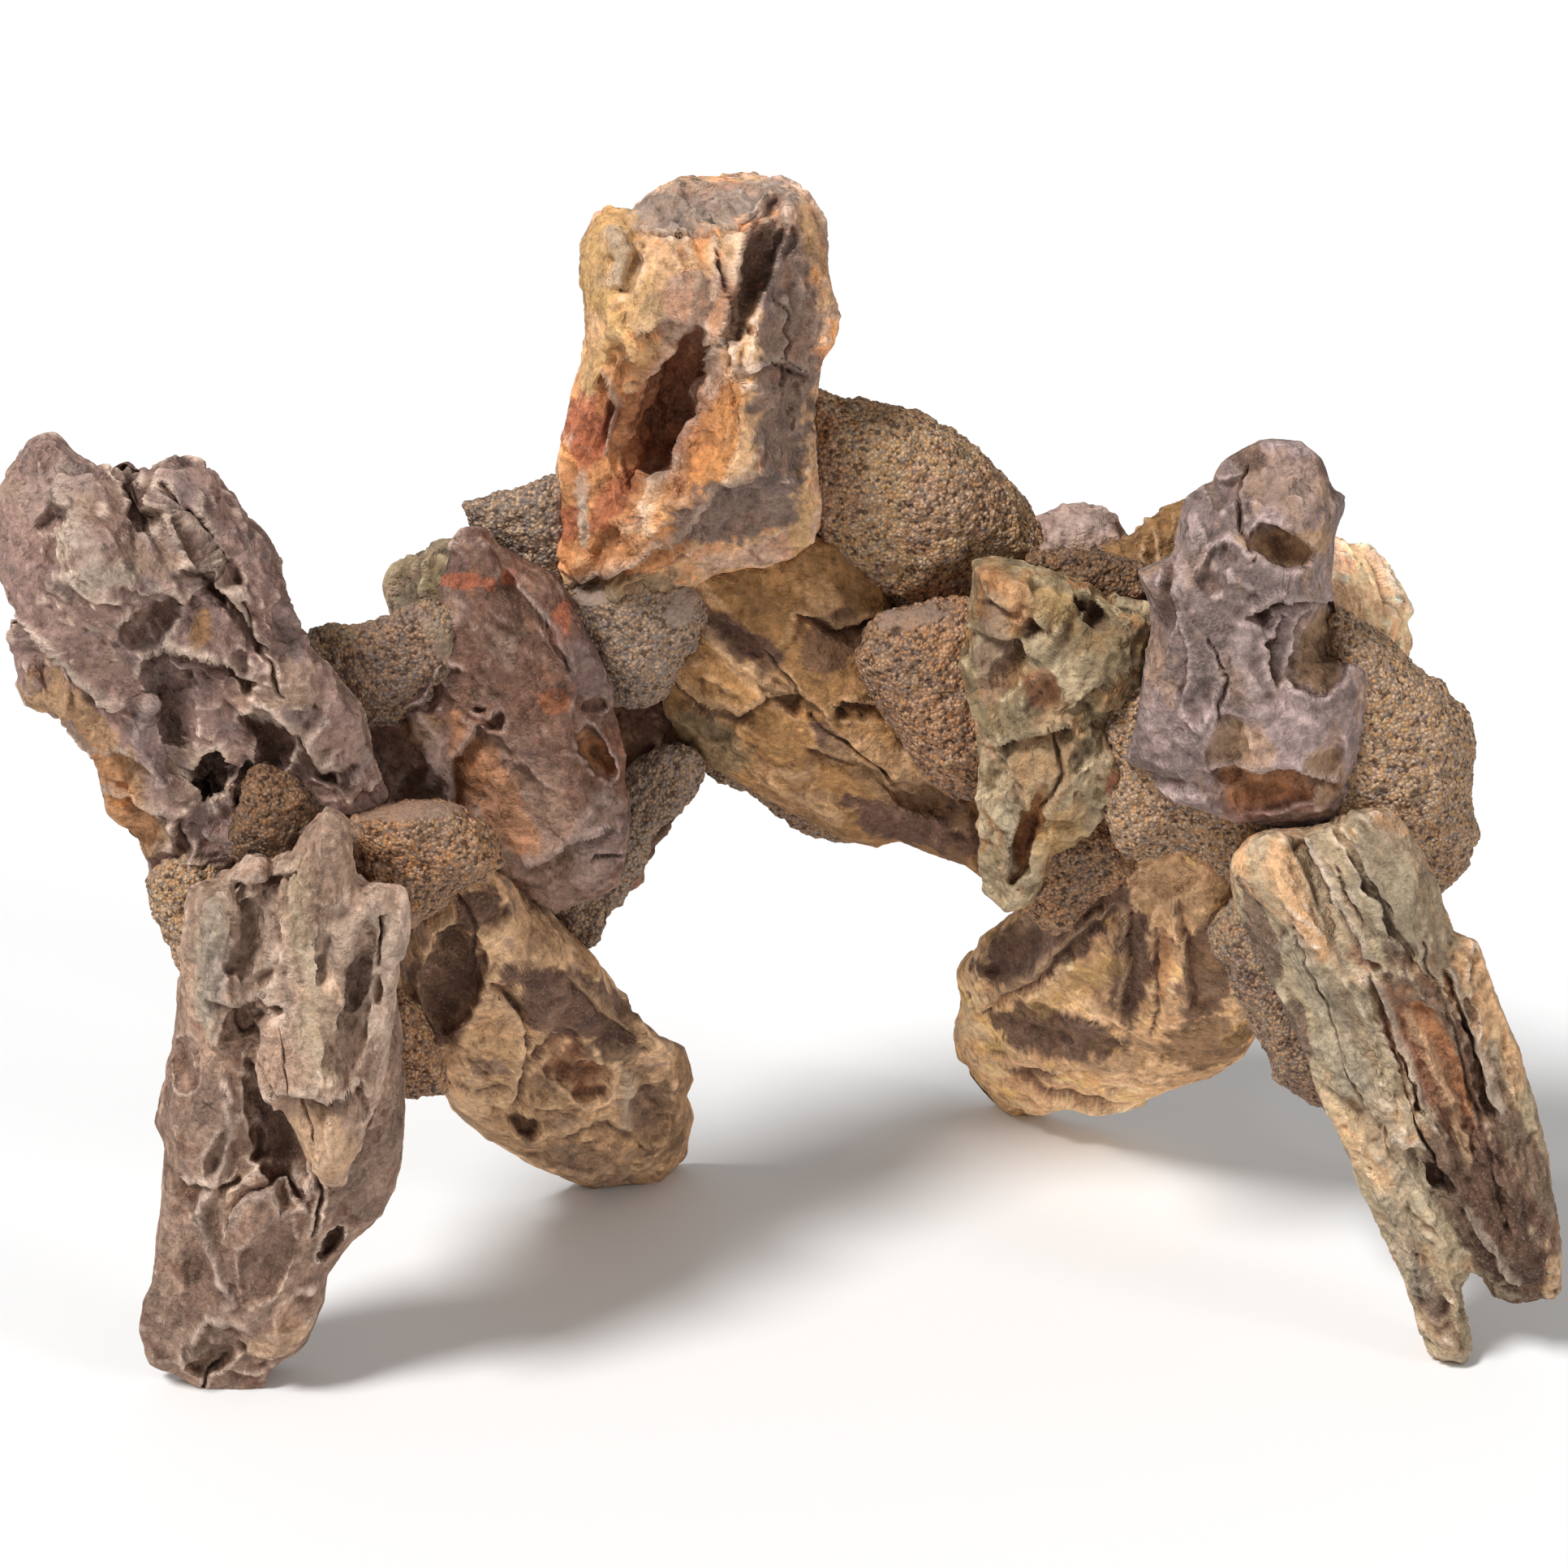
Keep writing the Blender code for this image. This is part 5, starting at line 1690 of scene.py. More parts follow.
    # Tan stone with purple-brown patches, the rear left foot.
    inner_left_foot_stone: Stone = Stone(
        outline=((117, 211), (124, 214), (131, 220), (142, 232), (149, 239), (153, 245), (155, 250),
            (163, 256), (168, 258.5), (170.5, 266), (169.5, 270), (170.5, 276), (168.5, 285), (163, 291),
            (154, 291.5), (147, 292.5), (139, 290), (130, 286), (120, 280), (112, 273), (106, 262),
            (99, 255), (97, 243), (98, 231), (102, 224), (109, 216), (113, 211)),
        heart=(128, 254), away=1, front=34, back=28, lean=-0.47, turn=0.38, square=3.4,
        facets=((106, 248, 195, 26, 1), (138, 262, -20, 30, 0.35), (150, 246, 40, 26, 0.8),
            (125, 273, 250, 26, 0.7)),
        hollows=((112, 240, 14, 8, 80, 8, "UMBER"), (141, 262, 12, 7, -40, 9, "RUST"),
            (129, 277, 4.5, 3, -30, 7, "UMBER"), (160, 275, 8, 6, 80, 4, "MAUVE"),
            (134, 264, 7, 5, 70, 3, "DARK_RUST"), (118, 262, 5, 3, -40, 2.6, "OCHRE"),
            (146, 284, 5, 2.6, 0, 2.4, "DARK_OCHRE"), (122, 226, 5, 3, 60, 2.6, "PURPLE_BROWN")),
        finish=StoneFinish(Tone.TAN, Tone.PALE_TAN, Tone.TAUPE, Tone.PALE_TAN, Tone.UMBER,
            Tone.DARK_RUST, 0.4),
        fracture=Fracture(Grade.SMOOTH, -48, 1.6, 0.4, 0.2, pits=0.15, slabs=Grade.SMOOTH),
        ledges=((((120, 272), (126, 271), (128, 260), (127, 250), (120, 240)), 3.2, 7),
            (((140, 240), (150, 250), (162, 258)), 1.2, 6),
            (((136, 280), (150, 276), (160, 284)), 1.2, 5)),
        cracks=((((112, 216), (118, 228), (116, 240)), 0.65, 1.1),),
        ridges=((((154, 262), (154.5, 271), (154, 281)), 1.8, 1.2, "CREAM"),),
        stains=((110, 243, 15, 9, 75, "DARK_RUST", 0.85), (117.5, 223.5, 5.6, 5, 0, "PURPLE_BROWN", 0.9),
            (142, 248, 17, 8.5, -18, "PURPLE_BROWN", 0.85), (131, 240, 9, 2.6, 0, "PURPLE_BROWN", 0.85),
            (152, 257, 6, 4, -30, "UMBER", 0.7), (160, 274, 12, 7, -60, "DARK_OCHRE", 0.45),
            (146, 287, 12, 4, -20, "PINK_BROWN", 0.5)),
    )
    # Small green stone, partly hidden behind the left face stone.
    back_left_green_stone: Stone = Stone(
        outline=((97, 145), (98.5, 141), (103, 138.5), (110, 136.5), (118, 136), (125, 141), (127, 150),
            (122, 162), (112, 166), (103, 161), (98, 153)),
        heart=(111, 150), away=-9, front=14, back=20, square=2.8,
        finish=StoneFinish(Tone.GREEN_GREY, Tone.OLIVE, Tone.TAUPE, Tone.PALE_OLIVE, Tone.UMBER,
            Tone.DARK_RUST, 0.3, lightness=1.1),
    )
    # Dab under the left crest stone.
    mortar_left_neck: Dab = Dab(
        outline=((60, 190), (64, 187), (70, 190), (77, 195), (80.5, 202), (79, 209), (75, 217),
            (67, 221), (59, 216), (56.5, 207), (58, 198)),
        heart=(67, 203), away=-66, front=14, back=22,
        finish=SandFinish(brightness=0.42),
        smears=((75, 213, 7, 3.4, 55, "BARE", 0.7),),
    )
    # Dab between the left crest, the left face and the left middle stone.
    mortar_left_centre: Dab = Dab(
        outline=((84, 201), (92, 198.5), (102, 197.3), (110, 197.5), (117, 200.5), (122, 206),
            (123.5, 213), (119, 217), (113, 220), (108, 224.5), (102, 229), (95, 230), (88, 225),
            (84, 216), (83, 208)),
        heart=(103, 211), away=-58, front=15, back=24,
        finish=SandFinish(brightness=0.78),
        smears=((101, 199.5, 13, 2.4, 3, "BARE", 0.75), (86, 212, 9, 2.2, 85, "BARE", 0.6),
            (98, 228, 8, 2, 10, "BARE", 0.6)),
    )
    # Dab in the saddle between the left crest and the left face stone.
    mortar_left_saddle: Dab = Dab(
        outline=((70, 158), (75, 157), (80, 154.5), (90, 153.5), (98, 150.5), (106, 147), (113, 152),
            (112, 166), (102, 176), (92, 180), (84, 178), (76, 168)),
        heart=(92, 165), away=-38, front=10, back=26,
        finish=replace(GREY_SAND, brightness=0.95),
        smears=((108, 158, 9, 2.4, -60, "BARE", 0.6),),
    )
    # Sandy dab behind the left middle stone.
    mortar_left_back: Dab = Dab(
        outline=((37.5, 214), (44, 210), (54, 212), (58, 224), (54, 238), (47, 243), (43.5, 238),
            (40.5, 230), (37.5, 226), (36.5, 220)),
        heart=(47, 225), away=-60, front=11, back=24, square=2.4,
        finish=SandFinish(brightness=1.08),
    )
    # Small dab between the left middle stone and the inner left foot.
    mortar_inner_left_low: Dab = Dab(
        outline=((95, 244), (102, 247), (107, 256), (110, 264), (110, 269), (104, 269.7), (98.3, 269.5),
            (84, 263), (84, 250)),
        heart=(99, 258), away=-44, front=10, back=46,
        finish=SandFinish(brightness=0.8),
    )


@dataclass
class Span(Cluster):
    """The top of the arch: the crown block, the keystone and what bonds them to both legs."""

    # Tall block on top with a deep hollow and an orange face.
    crown_stone: Stone = Stone(
        outline=((150.5, 52), (156, 52.5), (161, 48.5), (168, 44.5), (178, 43), (187, 43), (192, 45),
            (198, 48.5), (202, 55), (202.5, 66), (204.5, 80), (202.5, 88), (200.5, 100), (200.5, 113),
            (202, 126), (200, 133), (196, 137), (188, 139.5), (175, 142.5), (167, 148), (156, 150.5),
            (146, 149.5), (140, 146.5), (139, 143), (140, 130), (138, 116), (141, 105), (143, 95),
            (145.5, 86), (145, 73), (144.5, 60), (147, 53)),
        heart=(172, 97), away=-12, front=32, back=36, square=4.4,
        facets=((172, 59, 95, 28, 2.1), (190, 100, 5, 25, 1), (178, 124, -62, 26, 1.1),
            (152, 100, 190, 24, 0.8)),
        hollows=((165, 100, 22, 8, 68, 17, "RUST"), (186, 66, 18, 4.5, 72, 8, "UMBER"),
            (154, 66, 7, 5, 90, 3, "TAN"), (183, 82, 2.6, 2, 0, 3, "SOOT"),
            (165, 101, 24, 15.5, 76, 9.5, "RUST"), (193, 60, 6, 3, 75, 2.6, "MAUVE"),
            (150, 134, 6, 3.4, 60, 2.6, "OCHRE"), (196, 112, 6, 3, 85, 2.6, "SLATE")),
        finish=StoneFinish(Tone.TAN, Tone.PINK_BROWN, Tone.ORANGE, Tone.PALE_PINK, Tone.DARK_RUST,
            Tone.RUST, 0.4, 0.6, lightness=1.7),
        fracture=Fracture(Grade.BLOCKY, 94, 2, 0.8, 0.7, 6, slabs=Grade.BLOCKY),
        ledges=((((172, 78), (176, 86), (172, 96), (171, 101), (168, 109), (160, 121)), 3, 9),
            (((153, 54), (162, 57), (171, 58.5), (181, 56), (193, 47)), 1, 5),
            (((139, 144), (152, 140), (170, 131), (174, 122), (190, 115)), 2.8, 8),
            (((146, 92), (152, 100), (148, 112)), 1.8, 5), (((180, 92), (190, 88), (200, 92)), 1.6, 5)),
        cracks=((((176, 62), (180, 76), (179, 92)), 0.78, 1.3),
            (((190, 70), (194, 84), (191, 98)), 0.65, 1.1)),
        ridges=((((145, 68), (152, 80), (148, 86), (143, 98)), 2.4, 1.5, "YELLOW"),
            (((148, 56), (154, 62), (152, 72)), 2.6, 1.6, "CREAM")),
        stains=((150, 63, 15, 7, 75, "YELLOW", 0.7), (168, 75, 12, 7, 30, "PALE_MAUVE", 0.6),
            (150, 116, 23, 10, 78, "ORANGE", 0.85), (147, 105, 10, 5.5, 75, "RED", 0.9),
            (152, 122, 9, 3.4, 60, "RED", 0.75), (144, 122, 7, 2, 85, "PALE_PINK", 0.7),
            (178, 76, 8, 3, 75, "RED", 0.45), (142, 128, 5, 3, 80, "RED", 0.75),
            (166, 99, 17, 7, 80, "RUST", 0.6), (176, 110, 18, 4.6, 76, "BRIGHT_ORANGE", 0.85),
            (157, 137, 15, 5, 25, "ORANGE", 0.7), (170, 122, 13, 6, 55, "BRIGHT_ORANGE", 0.6),
            (157, 80, 12, 6, 70, "YELLOW", 0.5), (151, 92, 9, 4, 75, "ORANGE", 0.7),
            (183, 70, 16, 3.6, 80, "DARK_RUST", 0.7), (193, 90, 34, 8, 87, "SLATE", 0.8),
            (197, 128, 12, 3, 90, "YELLOW", 0.6), (182, 125, 17, 8, 15, "SLATE", 0.85),
            (153, 145, 14, 4.6, 5, "OLIVE", 0.75), (144.5, 128, 7, 1.7, 88, "CREAM", 0.7),
            (175, 50, 19, 6.5, 8, "GREY", 0.75)),
    )
    # Fractured ochre slab under the crown.
    keystone: Stone = Stone(
        outline=((168, 140), (185, 134), (200, 131), (212, 134), (217.5, 142), (219, 154), (224, 170),
            (232, 186), (246, 198), (245, 210), (242.5, 216), (238, 213), (230, 210), (222, 207),
            (216, 208), (208, 206), (200, 201), (191, 197.5), (184, 193.5), (174, 187.5), (167, 182),
            (164.5, 174), (164.5, 163), (169, 152)),
        heart=(202, 172), away=0, front=22, back=30, turn=0.1, square=4.6,
        facets=((180, 178, 215, 15, 1.1), (222, 176, 40, 19, 0.5), (205, 194, 262, 18, 0.45),
            (190, 158, 140, 20, 0.25)),
        hollows=((183, 160, 14, 4, -38, 3, "PURPLE_BROWN"), (195, 172, 12, 3, -32, 3, "DARK_OCHRE"),
            (228, 197, 10, 4, -25, 4, "UMBER"), (212, 174, 6, 3, 30, 1.4, "DARK_OCHRE"),
            (206, 196, 6, 2.6, -20, 1.4, "DARK_OCHRE"), (178, 180, 5, 2.6, -40, 2.2, "OLIVE")),
        finish=StoneFinish(Tone.OCHRE, Tone.OCHRE, Tone.TAN, Tone.TAN, Tone.UMBER, Tone.DARK_RUST, 0.4,
            0.5),
        fracture=Fracture(Grade.SMOOTH, 140, 2.6, 0.4, 0.3, 5, 6, pits=0.15, slabs=Grade.SMOOTH),
        ledges=((((164, 163), (170, 170), (178, 174), (185, 178)), 2.4, 7),
            (((182, 178), (189, 172), (198, 170)), 1.8, 6),
            (((198, 184), (212, 188), (226, 196)), 1.4, 6),
            (((196, 150), (206, 154), (216, 152)), 1.8, 6),
            (((206, 172), (218, 174), (228, 184)), 1.6, 6)),
        cracks=((((189, 160), (194, 166), (198, 172)), 0.78, 1.4),
            (((200, 176), (212, 186), (222, 192)), 0.65, 1.1)),
        ridges=((((170, 152), (180, 162), (192, 170)), 1.6, 1, "PALE_TAN"),),
        stains=((182, 158, 13, 4.6, -33, "PURPLE_BROWN", 0.9), (205, 158, 9, 7, 60, "DARK_RUST", 0.75),
            (205.5, 183.5, 7, 2.8, -50, "PURPLE_BROWN", 0.9),
            (224, 203, 17, 4.6, -18, "PURPLE_BROWN", 0.9), (236.5, 205, 8, 6, 80, "DARK_RUST", 0.7),
            (174.5, 183, 11, 7, -30, "OLIVE", 0.7), (218, 190, 16, 6, -35, "TAN", 0.6),
            (190, 168, 9, 5, -40, "TAN", 0.5)),
    )
    # Dark stone in the shade between the left face stone and the keystone.
    inner_dark_stone: Stone = Stone(
        outline=((148, 168), (156, 164), (165, 168), (170, 178), (168, 190), (164, 203), (157, 216),
            (148, 224), (140, 221), (138, 208), (142, 186)),
        heart=(154, 192), away=12, front=16, back=18, square=3,
        finish=StoneFinish(Tone.UMBER, Tone.DARK_RUST, Tone.SOOT, Tone.TAUPE, Tone.SOOT, Tone.DARK_OCHRE,
            0.3, 0.4, lightness=2.3),
    )
    # Sandy dab between the crown and the left face stone.
    mortar_top_left: Dab = Dab(
        outline=((113.5, 124), (121, 122), (128, 120), (136, 117), (144, 117), (149, 130), (147, 148),
            (137, 151), (127, 146), (119, 137), (116.5, 130)),
        heart=(133, 130), away=-14, front=9, back=22, square=2.4,
        finish=replace(PALE_SAND, brightness=2.2),
    )
    # Broad sandy dab between the crown and the right saddle.
    mortar_top_right: Dab = Dab(
        outline=((198, 96), (204, 97), (216, 98.5), (230, 103), (242, 111), (252, 122), (257.5, 131),
            (260.5, 139), (250, 145), (238, 152), (224, 153), (213, 146), (203, 138), (195, 125),
            (193, 108)),
        heart=(224, 126), away=4, front=25, back=34,
        hollows=((236, 142, 9, 4, 30, 4),),
    )
    # Greyish dab left of the keystone.
    mortar_keystone_left: Dab = Dab(
        outline=((137, 146), (150, 142), (164, 142), (173, 147), (174, 156), (169, 163), (165, 170),
            (161, 173.5), (156, 174.5), (149, 173), (143, 165), (138, 156)),
        heart=(158, 158), away=-18, front=10, back=26,
        finish=replace(GREY_SAND, brightness=1.5),
        smears=((150, 146, 9, 2.6, 15, "BARE", 0.75), (168, 150, 7, 3, 70, "BARE", 0.7)),
    )
    # Dab between the keystone and the right plate.
    mortar_keystone_right: Dab = Dab(
        outline=((213, 154), (218, 150.5), (228, 148.5), (240, 148), (247, 158), (249, 178), (246, 195),
            (238, 197), (230, 193), (224, 186), (218, 177), (212, 167), (211, 160)),
        heart=(231, 172), away=-20, front=13, back=24, square=3,
        finish=SandFinish(brightness=0.8),
        smears=((226, 152, 10, 2.6, 8, "BARE", 0.75), (246, 175, 14, 2.4, 85, "BARE", 0.6)),
    )
    # Thin dab under the keystone.
    mortar_keystone_low: Dab = Dab(
        outline=((168, 181), (188, 184), (202, 191), (216, 198), (216, 206), (208, 207.3), (198, 205.5),
            (191, 200.5), (184, 195), (175, 190.5)),
        heart=(196, 196), away=14, front=8, back=18,
        finish=replace(GREY_SAND, brightness=0.95),
    )
    # Dark dab that runs down the inside of the left pillar.
    mortar_inner_left: Dab = Dab(
        outline=((170, 183.5), (174, 189), (170.5, 197), (161.5, 206), (160, 211), (154, 220.5),
            (149.5, 226), (146, 234), (139, 230), (135, 223), (143, 210), (149, 199), (156, 188),
            (163, 183.5)),
        heart=(156, 208), away=-8, front=8, back=24, square=2.4,
        finish=replace(GREY_SAND, brightness=1.5),
    )


@dataclass
class RightPillar(Cluster):
    """The right leg of the arch, with the stones behind its saddle."""

    # Long wood-grained slab with two prongs, the front right foot.
    right_foot_stone: Stone = Stone(
        outline=((314, 204.5), (323, 204), (335, 201.8), (341, 200.5), (345, 203), (350, 209),
            (354, 219), (357.5, 230), (363, 233.5), (369, 248), (375, 262), (379, 280), (383, 300),
            (385.5, 316), (383, 319.5), (374, 320.5), (369, 319), (366, 315), (362.5, 314), (360, 318),
            (359.7, 324), (361.5, 332), (360, 336), (353, 333), (348, 318), (341, 302), (334, 287),
            (326, 269), (320, 254), (312, 238), (305, 222), (303, 213), (308, 207)),
        heart=(343, 262), away=-51, front=17, back=22, lean=-0.06, square=4.8,
        facets=((322, 240, 205, 13, 0.8), (360, 250, 20, 12, 0.8), (346, 216, 60, 14, 0.35)),
        hollows=((352, 262, 26, 8, -62, 6, "RUST"), (340, 222, 22, 2.6, -58, 4, "PURPLE_BROWN"),
            (355, 291, 5, 2, -50, 7, "SOOT"), (333, 253, 14, 4, -65, 3, "PURPLE_BROWN"),
            (364, 290, 20, 6, -68, 4, "DARK_RUST"), (337.5, 238, 3.4, 1.8, 0, 3, "SOOT"),
            (362, 251, 7, 2, -75, 3, "UMBER"), (350, 240, 8, 2.6, -60, 2.4, "RUST"),
            (372, 300, 9, 2.6, -70, 2.4, "DARK_RUST"), (345, 284, 8, 2.2, -62, 2.4, "TAN")),
        finish=StoneFinish(Tone.PALE_OLIVE, Tone.TAN, Tone.GREEN_GREY, Tone.CREAM, Tone.DARK_RUST,
            Tone.RUST, 0.4, 0.6),
        fracture=Fracture(Grade.SMOOTH, -63, 5, 0.4, 0.8, 4, 9, pits=0.15, slabs=Grade.BLOCKY),
        ledges=((((320, 204), (330, 222), (338, 239)), 2.2, 7),
            (((338, 240), (344, 256), (352, 276)), 2.4, 6), (((356, 238), (364, 256), (370, 278)), 2, 6),
            (((360, 296), (366, 306), (374, 318)), 1.6, 5)),
        cracks=((((338, 240), (346, 270), (356, 292)), 0.85, 1.2),
            (((350, 232), (358, 254), (366, 280), (372, 304)), 0.65, 0.9),
            (((318, 228), (328, 252), (340, 280)), 0.55, 0.8), (((328, 212), (336, 228)), 0.5, 0.7)),
        ridges=((((340, 290), (347, 306), (352, 321)), 2.4, 1, "PALE_GREEN"),
            (((346, 246), (356, 268), (363, 290)), 1.6, 1.4, "PALE_TAN")),
        stains=((310.5, 229, 14, 2.8, -71, "PURPLE_BROWN", 0.75),
            (320.5, 254, 9.5, 2.4, -67, "PURPLE_BROWN", 0.75),
            (345, 221, 21, 10, -62, "GREEN_GREY", 0.6), (355, 262, 30, 8.5, -66, "DARK_RUST", 0.8),
            (356, 262, 20, 4, -66, "ORANGE", 0.55), (366, 296, 30, 10, -64, "DARK_RUST", 0.85),
            (372, 280, 34, 5, -67, "DARK_RUST", 0.7), (372, 308, 18, 7, -64, "UMBER", 0.75),
            (352, 318, 9, 3, -64, "PURPLE_BROWN", 0.7), (333, 262, 40, 4.6, -64, "PALE_GREEN", 0.55)),
    )
    # Smooth mauve-grey stone with hollows, at the upper right.
    right_crest_stone: Stone = Stone(
        outline=((311, 109.5), (320, 109.5), (325, 113), (329, 120), (331, 122.5), (328.5, 132),
            (327.5, 143), (329, 152), (333, 163), (338, 167), (338.5, 177), (337, 187), (334, 196),
            (329, 202.5), (322, 204.3), (313, 203.5), (304, 202), (297, 199.5), (290, 197), (284, 191),
            (278, 187), (280, 177), (281.5, 165), (284, 154), (284, 149), (281, 141), (289, 136.5),
            (292, 129), (294, 123), (300, 119), (303, 114)),
        heart=(307, 160), away=-44, front=22, back=30, turn=0.08, square=3.4,
        facets=((300, 128, 115, 15, 0.8), (318, 120, 70, 14, 0.9), (288, 165, 185, 15, 0.8),
            (308, 190, 262, 17, 0.4)),
        hollows=((315, 135, 9, 6, -20, 9, "TAN"), (325, 160, 13, 9, 80, 12, "TAN"),
            (303, 184, 9, 6, 80, 6, "PALE_TAN"), (311, 194, 14, 6, 5, 7, "ORANGE"),
            (287, 152, 12, 3, 80, 4, "PURPLE_BROWN"), (300, 140, 8, 4, 60, 2.6, "MAUVE"),
            (296, 172, 7, 3.6, 75, 2.6, "SLATE"), (326, 186, 7, 4, 60, 3, "TAN"),
            (303, 122, 6, 3, 40, 2.4, "SLATE")),
        finish=StoneFinish(Tone.SLATE, Tone.LILAC, Tone.TAUPE, Tone.PALE_LILAC, Tone.UMBER, Tone.TAN,
            0.3, 0.6),
        fracture=Fracture(Grade.SMOOTH, 98, 1.8, 0.6, 0.3, pits=0.2, slabs=Grade.SMOOTH),
        ledges=((((306, 152), (312, 148), (320, 147), (330, 148)), 2.4, 6),
            (((314, 170), (310, 158), (316, 150)), 2.2, 6),
            (((296, 190), (306, 188), (318, 189), (332, 192)), 2.2, 5),
            (((290, 150), (294, 160), (292, 172)), 1.6, 6)),
        cracks=((((308, 116), (305, 128), (308, 140)), 0.65, 1.1),
            (((298, 158), (302, 168), (300, 178)), 0.59, 0.88)),
        ridges=((((296, 124), (293, 136), (290, 150)), 2.4, 1.2),
            (((306, 150), (306, 164), (312, 178)), 2.4, 1.2)),
        stains=((318, 119, 14, 7, 0, "PINK_BROWN", 0.6), (317, 133.5, 11, 4.2, 0, "TAN", 0.7),
            (315.5, 136.5, 3.4, 2.4, 60, "UMBER", 0.75), (308, 114, 4, 2.8, 0, "UMBER", 0.7),
            (325.5, 115, 3, 2.2, 90, "DEEP_MAUVE", 0.75), (326, 160, 10, 7, 80, "TAN", 0.55),
            (308, 186, 6, 9, 0, "TAN", 0.6), (326, 190, 5, 8, 0, "TAN", 0.6),
            (312, 197, 12, 4, 5, "RUST", 0.55)),
    )
    # Olive-green stone with two slots.
    right_plate_stone: Stone = Stone(
        outline=((241, 139.5), (245, 138.5), (258, 141.5), (268, 145), (276, 149), (283, 150.5),
            (283.5, 159), (281, 167), (275, 173), (271.5, 178), (273, 186), (277, 194), (275, 198),
            (269, 202), (264, 208), (258, 211), (256, 217), (253, 221.5), (248, 223.5), (243, 219),
            (242, 210), (242.5, 198), (242.5, 188), (241, 177), (238.5, 164), (240, 154), (240.5, 144)),
        heart=(259, 178), away=-32, front=16, back=22, turn=-0.1, square=4.2,
        facets=((262, 152, 70, 13, 0.7), (247, 170, 195, 13, 0.7), (270, 186, -20, 12, 0.7),
            (250, 212, 200, 10, 0.5)),
        hollows=((268.5, 151, 7, 3, -28, 7, "DARK_RUST"), (254, 205, 14, 4.5, 72, 8, "ORANGE"),
            (249, 164, 7, 4, 70, 4, "DARK_OCHRE"), (257, 172, 6, 4, 60, 3, "DARK_RUST"),
            (266, 186, 5, 2.6, 60, 2.2, "OLIVE"), (246, 190, 5, 2.4, 80, 2.2, "DARK_OCHRE")),
        finish=StoneFinish(Tone.OLIVE, Tone.PALE_OLIVE, Tone.OCHRE, Tone.PALE_OLIVE, Tone.UMBER,
            Tone.RUST, 0.45, 0.6),
        fracture=Fracture(Grade.BLOCKY, 78, 1.6, 0.5, 0.4, pits=0.4, slabs=Grade.BLOCKY),
        ledges=((((243, 146), (252, 150), (258, 156)), 1.8, 5),
            (((262, 176), (270, 170), (282, 162)), 1.6, 5),
            (((246, 182), (256, 180), (266, 178)), 1.8, 6)),
        cracks=((((258, 178), (262, 190), (258, 200)), 0.65, 1.1),),
        ridges=((((241, 140), (250, 147), (254, 154)), 1.9, 1.6, "ORANGE"),
            (((250, 193), (247.5, 203), (250, 216)), 1.6, 1.2, "PALE_GREEN")),
        stains=((256.5, 169, 5, 4, 90, "RUST", 0.65), (271.5, 159, 11, 8, 10, "OLIVE", 0.6),
            (274.5, 193, 3.2, 2.6, 90, "RED", 0.7), (262, 204, 8, 4, 60, "YELLOW", 0.45),
            (258, 186, 14, 7, 70, "TAN", 0.55), (246, 160, 12, 4, 85, "PINK_BROWN", 0.6),
            (258, 150, 7, 3.4, -20, "YELLOW", 0.4)),
    )
    # Blocky ochre stone with dark patches, the rear right foot.
    right_inner_foot_stone: Stone = Stone(
        outline=((294, 204), (302, 208), (306, 218), (308, 230), (310, 242), (311, 251), (307, 260),
            (300, 264), (290, 268), (281, 271.5), (270, 273), (262, 272.5), (253.5, 275.5), (248, 273.5),
            (242.5, 267), (237, 260), (235.5, 252), (237, 246), (237, 239), (242, 231.5), (248, 227),
            (254, 221), (262, 215), (270, 211), (276, 208), (284, 205)),
        heart=(274, 242), away=28, front=34, back=28, lean=-0.6, turn=-0.6, square=3.8,
        facets=((256, 234, 140, 28, 0.8), (296, 238, 10, 30, 0.4), (262, 262, 235, 27, 0.7),
            (290, 260, -70, 27, 0.7), (280, 220, 85, 30, 0.7)),
        hollows=((252, 233, 11, 5, 35, 5, "PURPLE_BROWN"), (258, 252, 10, 5, -35, 4, "DARK_OCHRE"),
            (286, 232, 10, 3.5, 80, 3, "PURPLE_BROWN"), (270, 258, 7, 3, 10, 1.6, "OCHRE"),
            (298, 252, 6, 3, 80, 2.4, "DARK_OCHRE"), (264, 222, 5, 2.4, 30, 2.2, "OCHRE")),
        finish=StoneFinish(Tone.TAN, Tone.PALE_TAN, Tone.YELLOW, Tone.PALE_TAN, Tone.DARK_RUST,
            Tone.RUST, 0.35, 0.5, lightness=1.62),
        fracture=Fracture(Grade.SMOOTH, 38, 1.6, 0.4, 0.3, pits=0.15, slabs=Grade.SMOOTH),
        ledges=((((240, 250), (252, 242), (264, 232), (276, 222)), 2.6, 7),
            (((276, 250), (278, 238), (277, 222)), 2.2, 6), (((246, 262), (262, 264), (282, 262)), 2, 5),
            (((292, 250), (293, 236), (290, 220)), 1.8, 6)),
        cracks=((((284, 226), (286, 240), (284, 256)), 0.78, 1.2),
            (((250, 256), (262, 250), (272, 252)), 0.65, 1.1)),
        ridges=((((250, 230), (262, 220), (274, 213)), 2.2, 1),),
        stains=((259, 230, 22, 8.5, 34, "PURPLE_BROWN", 0.9),
            (279, 238, 14, 5.5, 85, "PURPLE_BROWN", 0.9), (298, 238, 15, 7, 75, "DARK_RUST", 0.85),
            (287, 237, 9, 2, 88, "ORANGE", 0.6), (260, 254, 17, 6, -14, "PURPLE_BROWN", 0.85),
            (297, 257, 11, 7, 10, "DARK_OCHRE", 0.65), (266, 242, 14, 4, 30, "YELLOW", 0.5),
            (268, 215, 12, 4, 25, "YELLOW", 0.4)),
    )
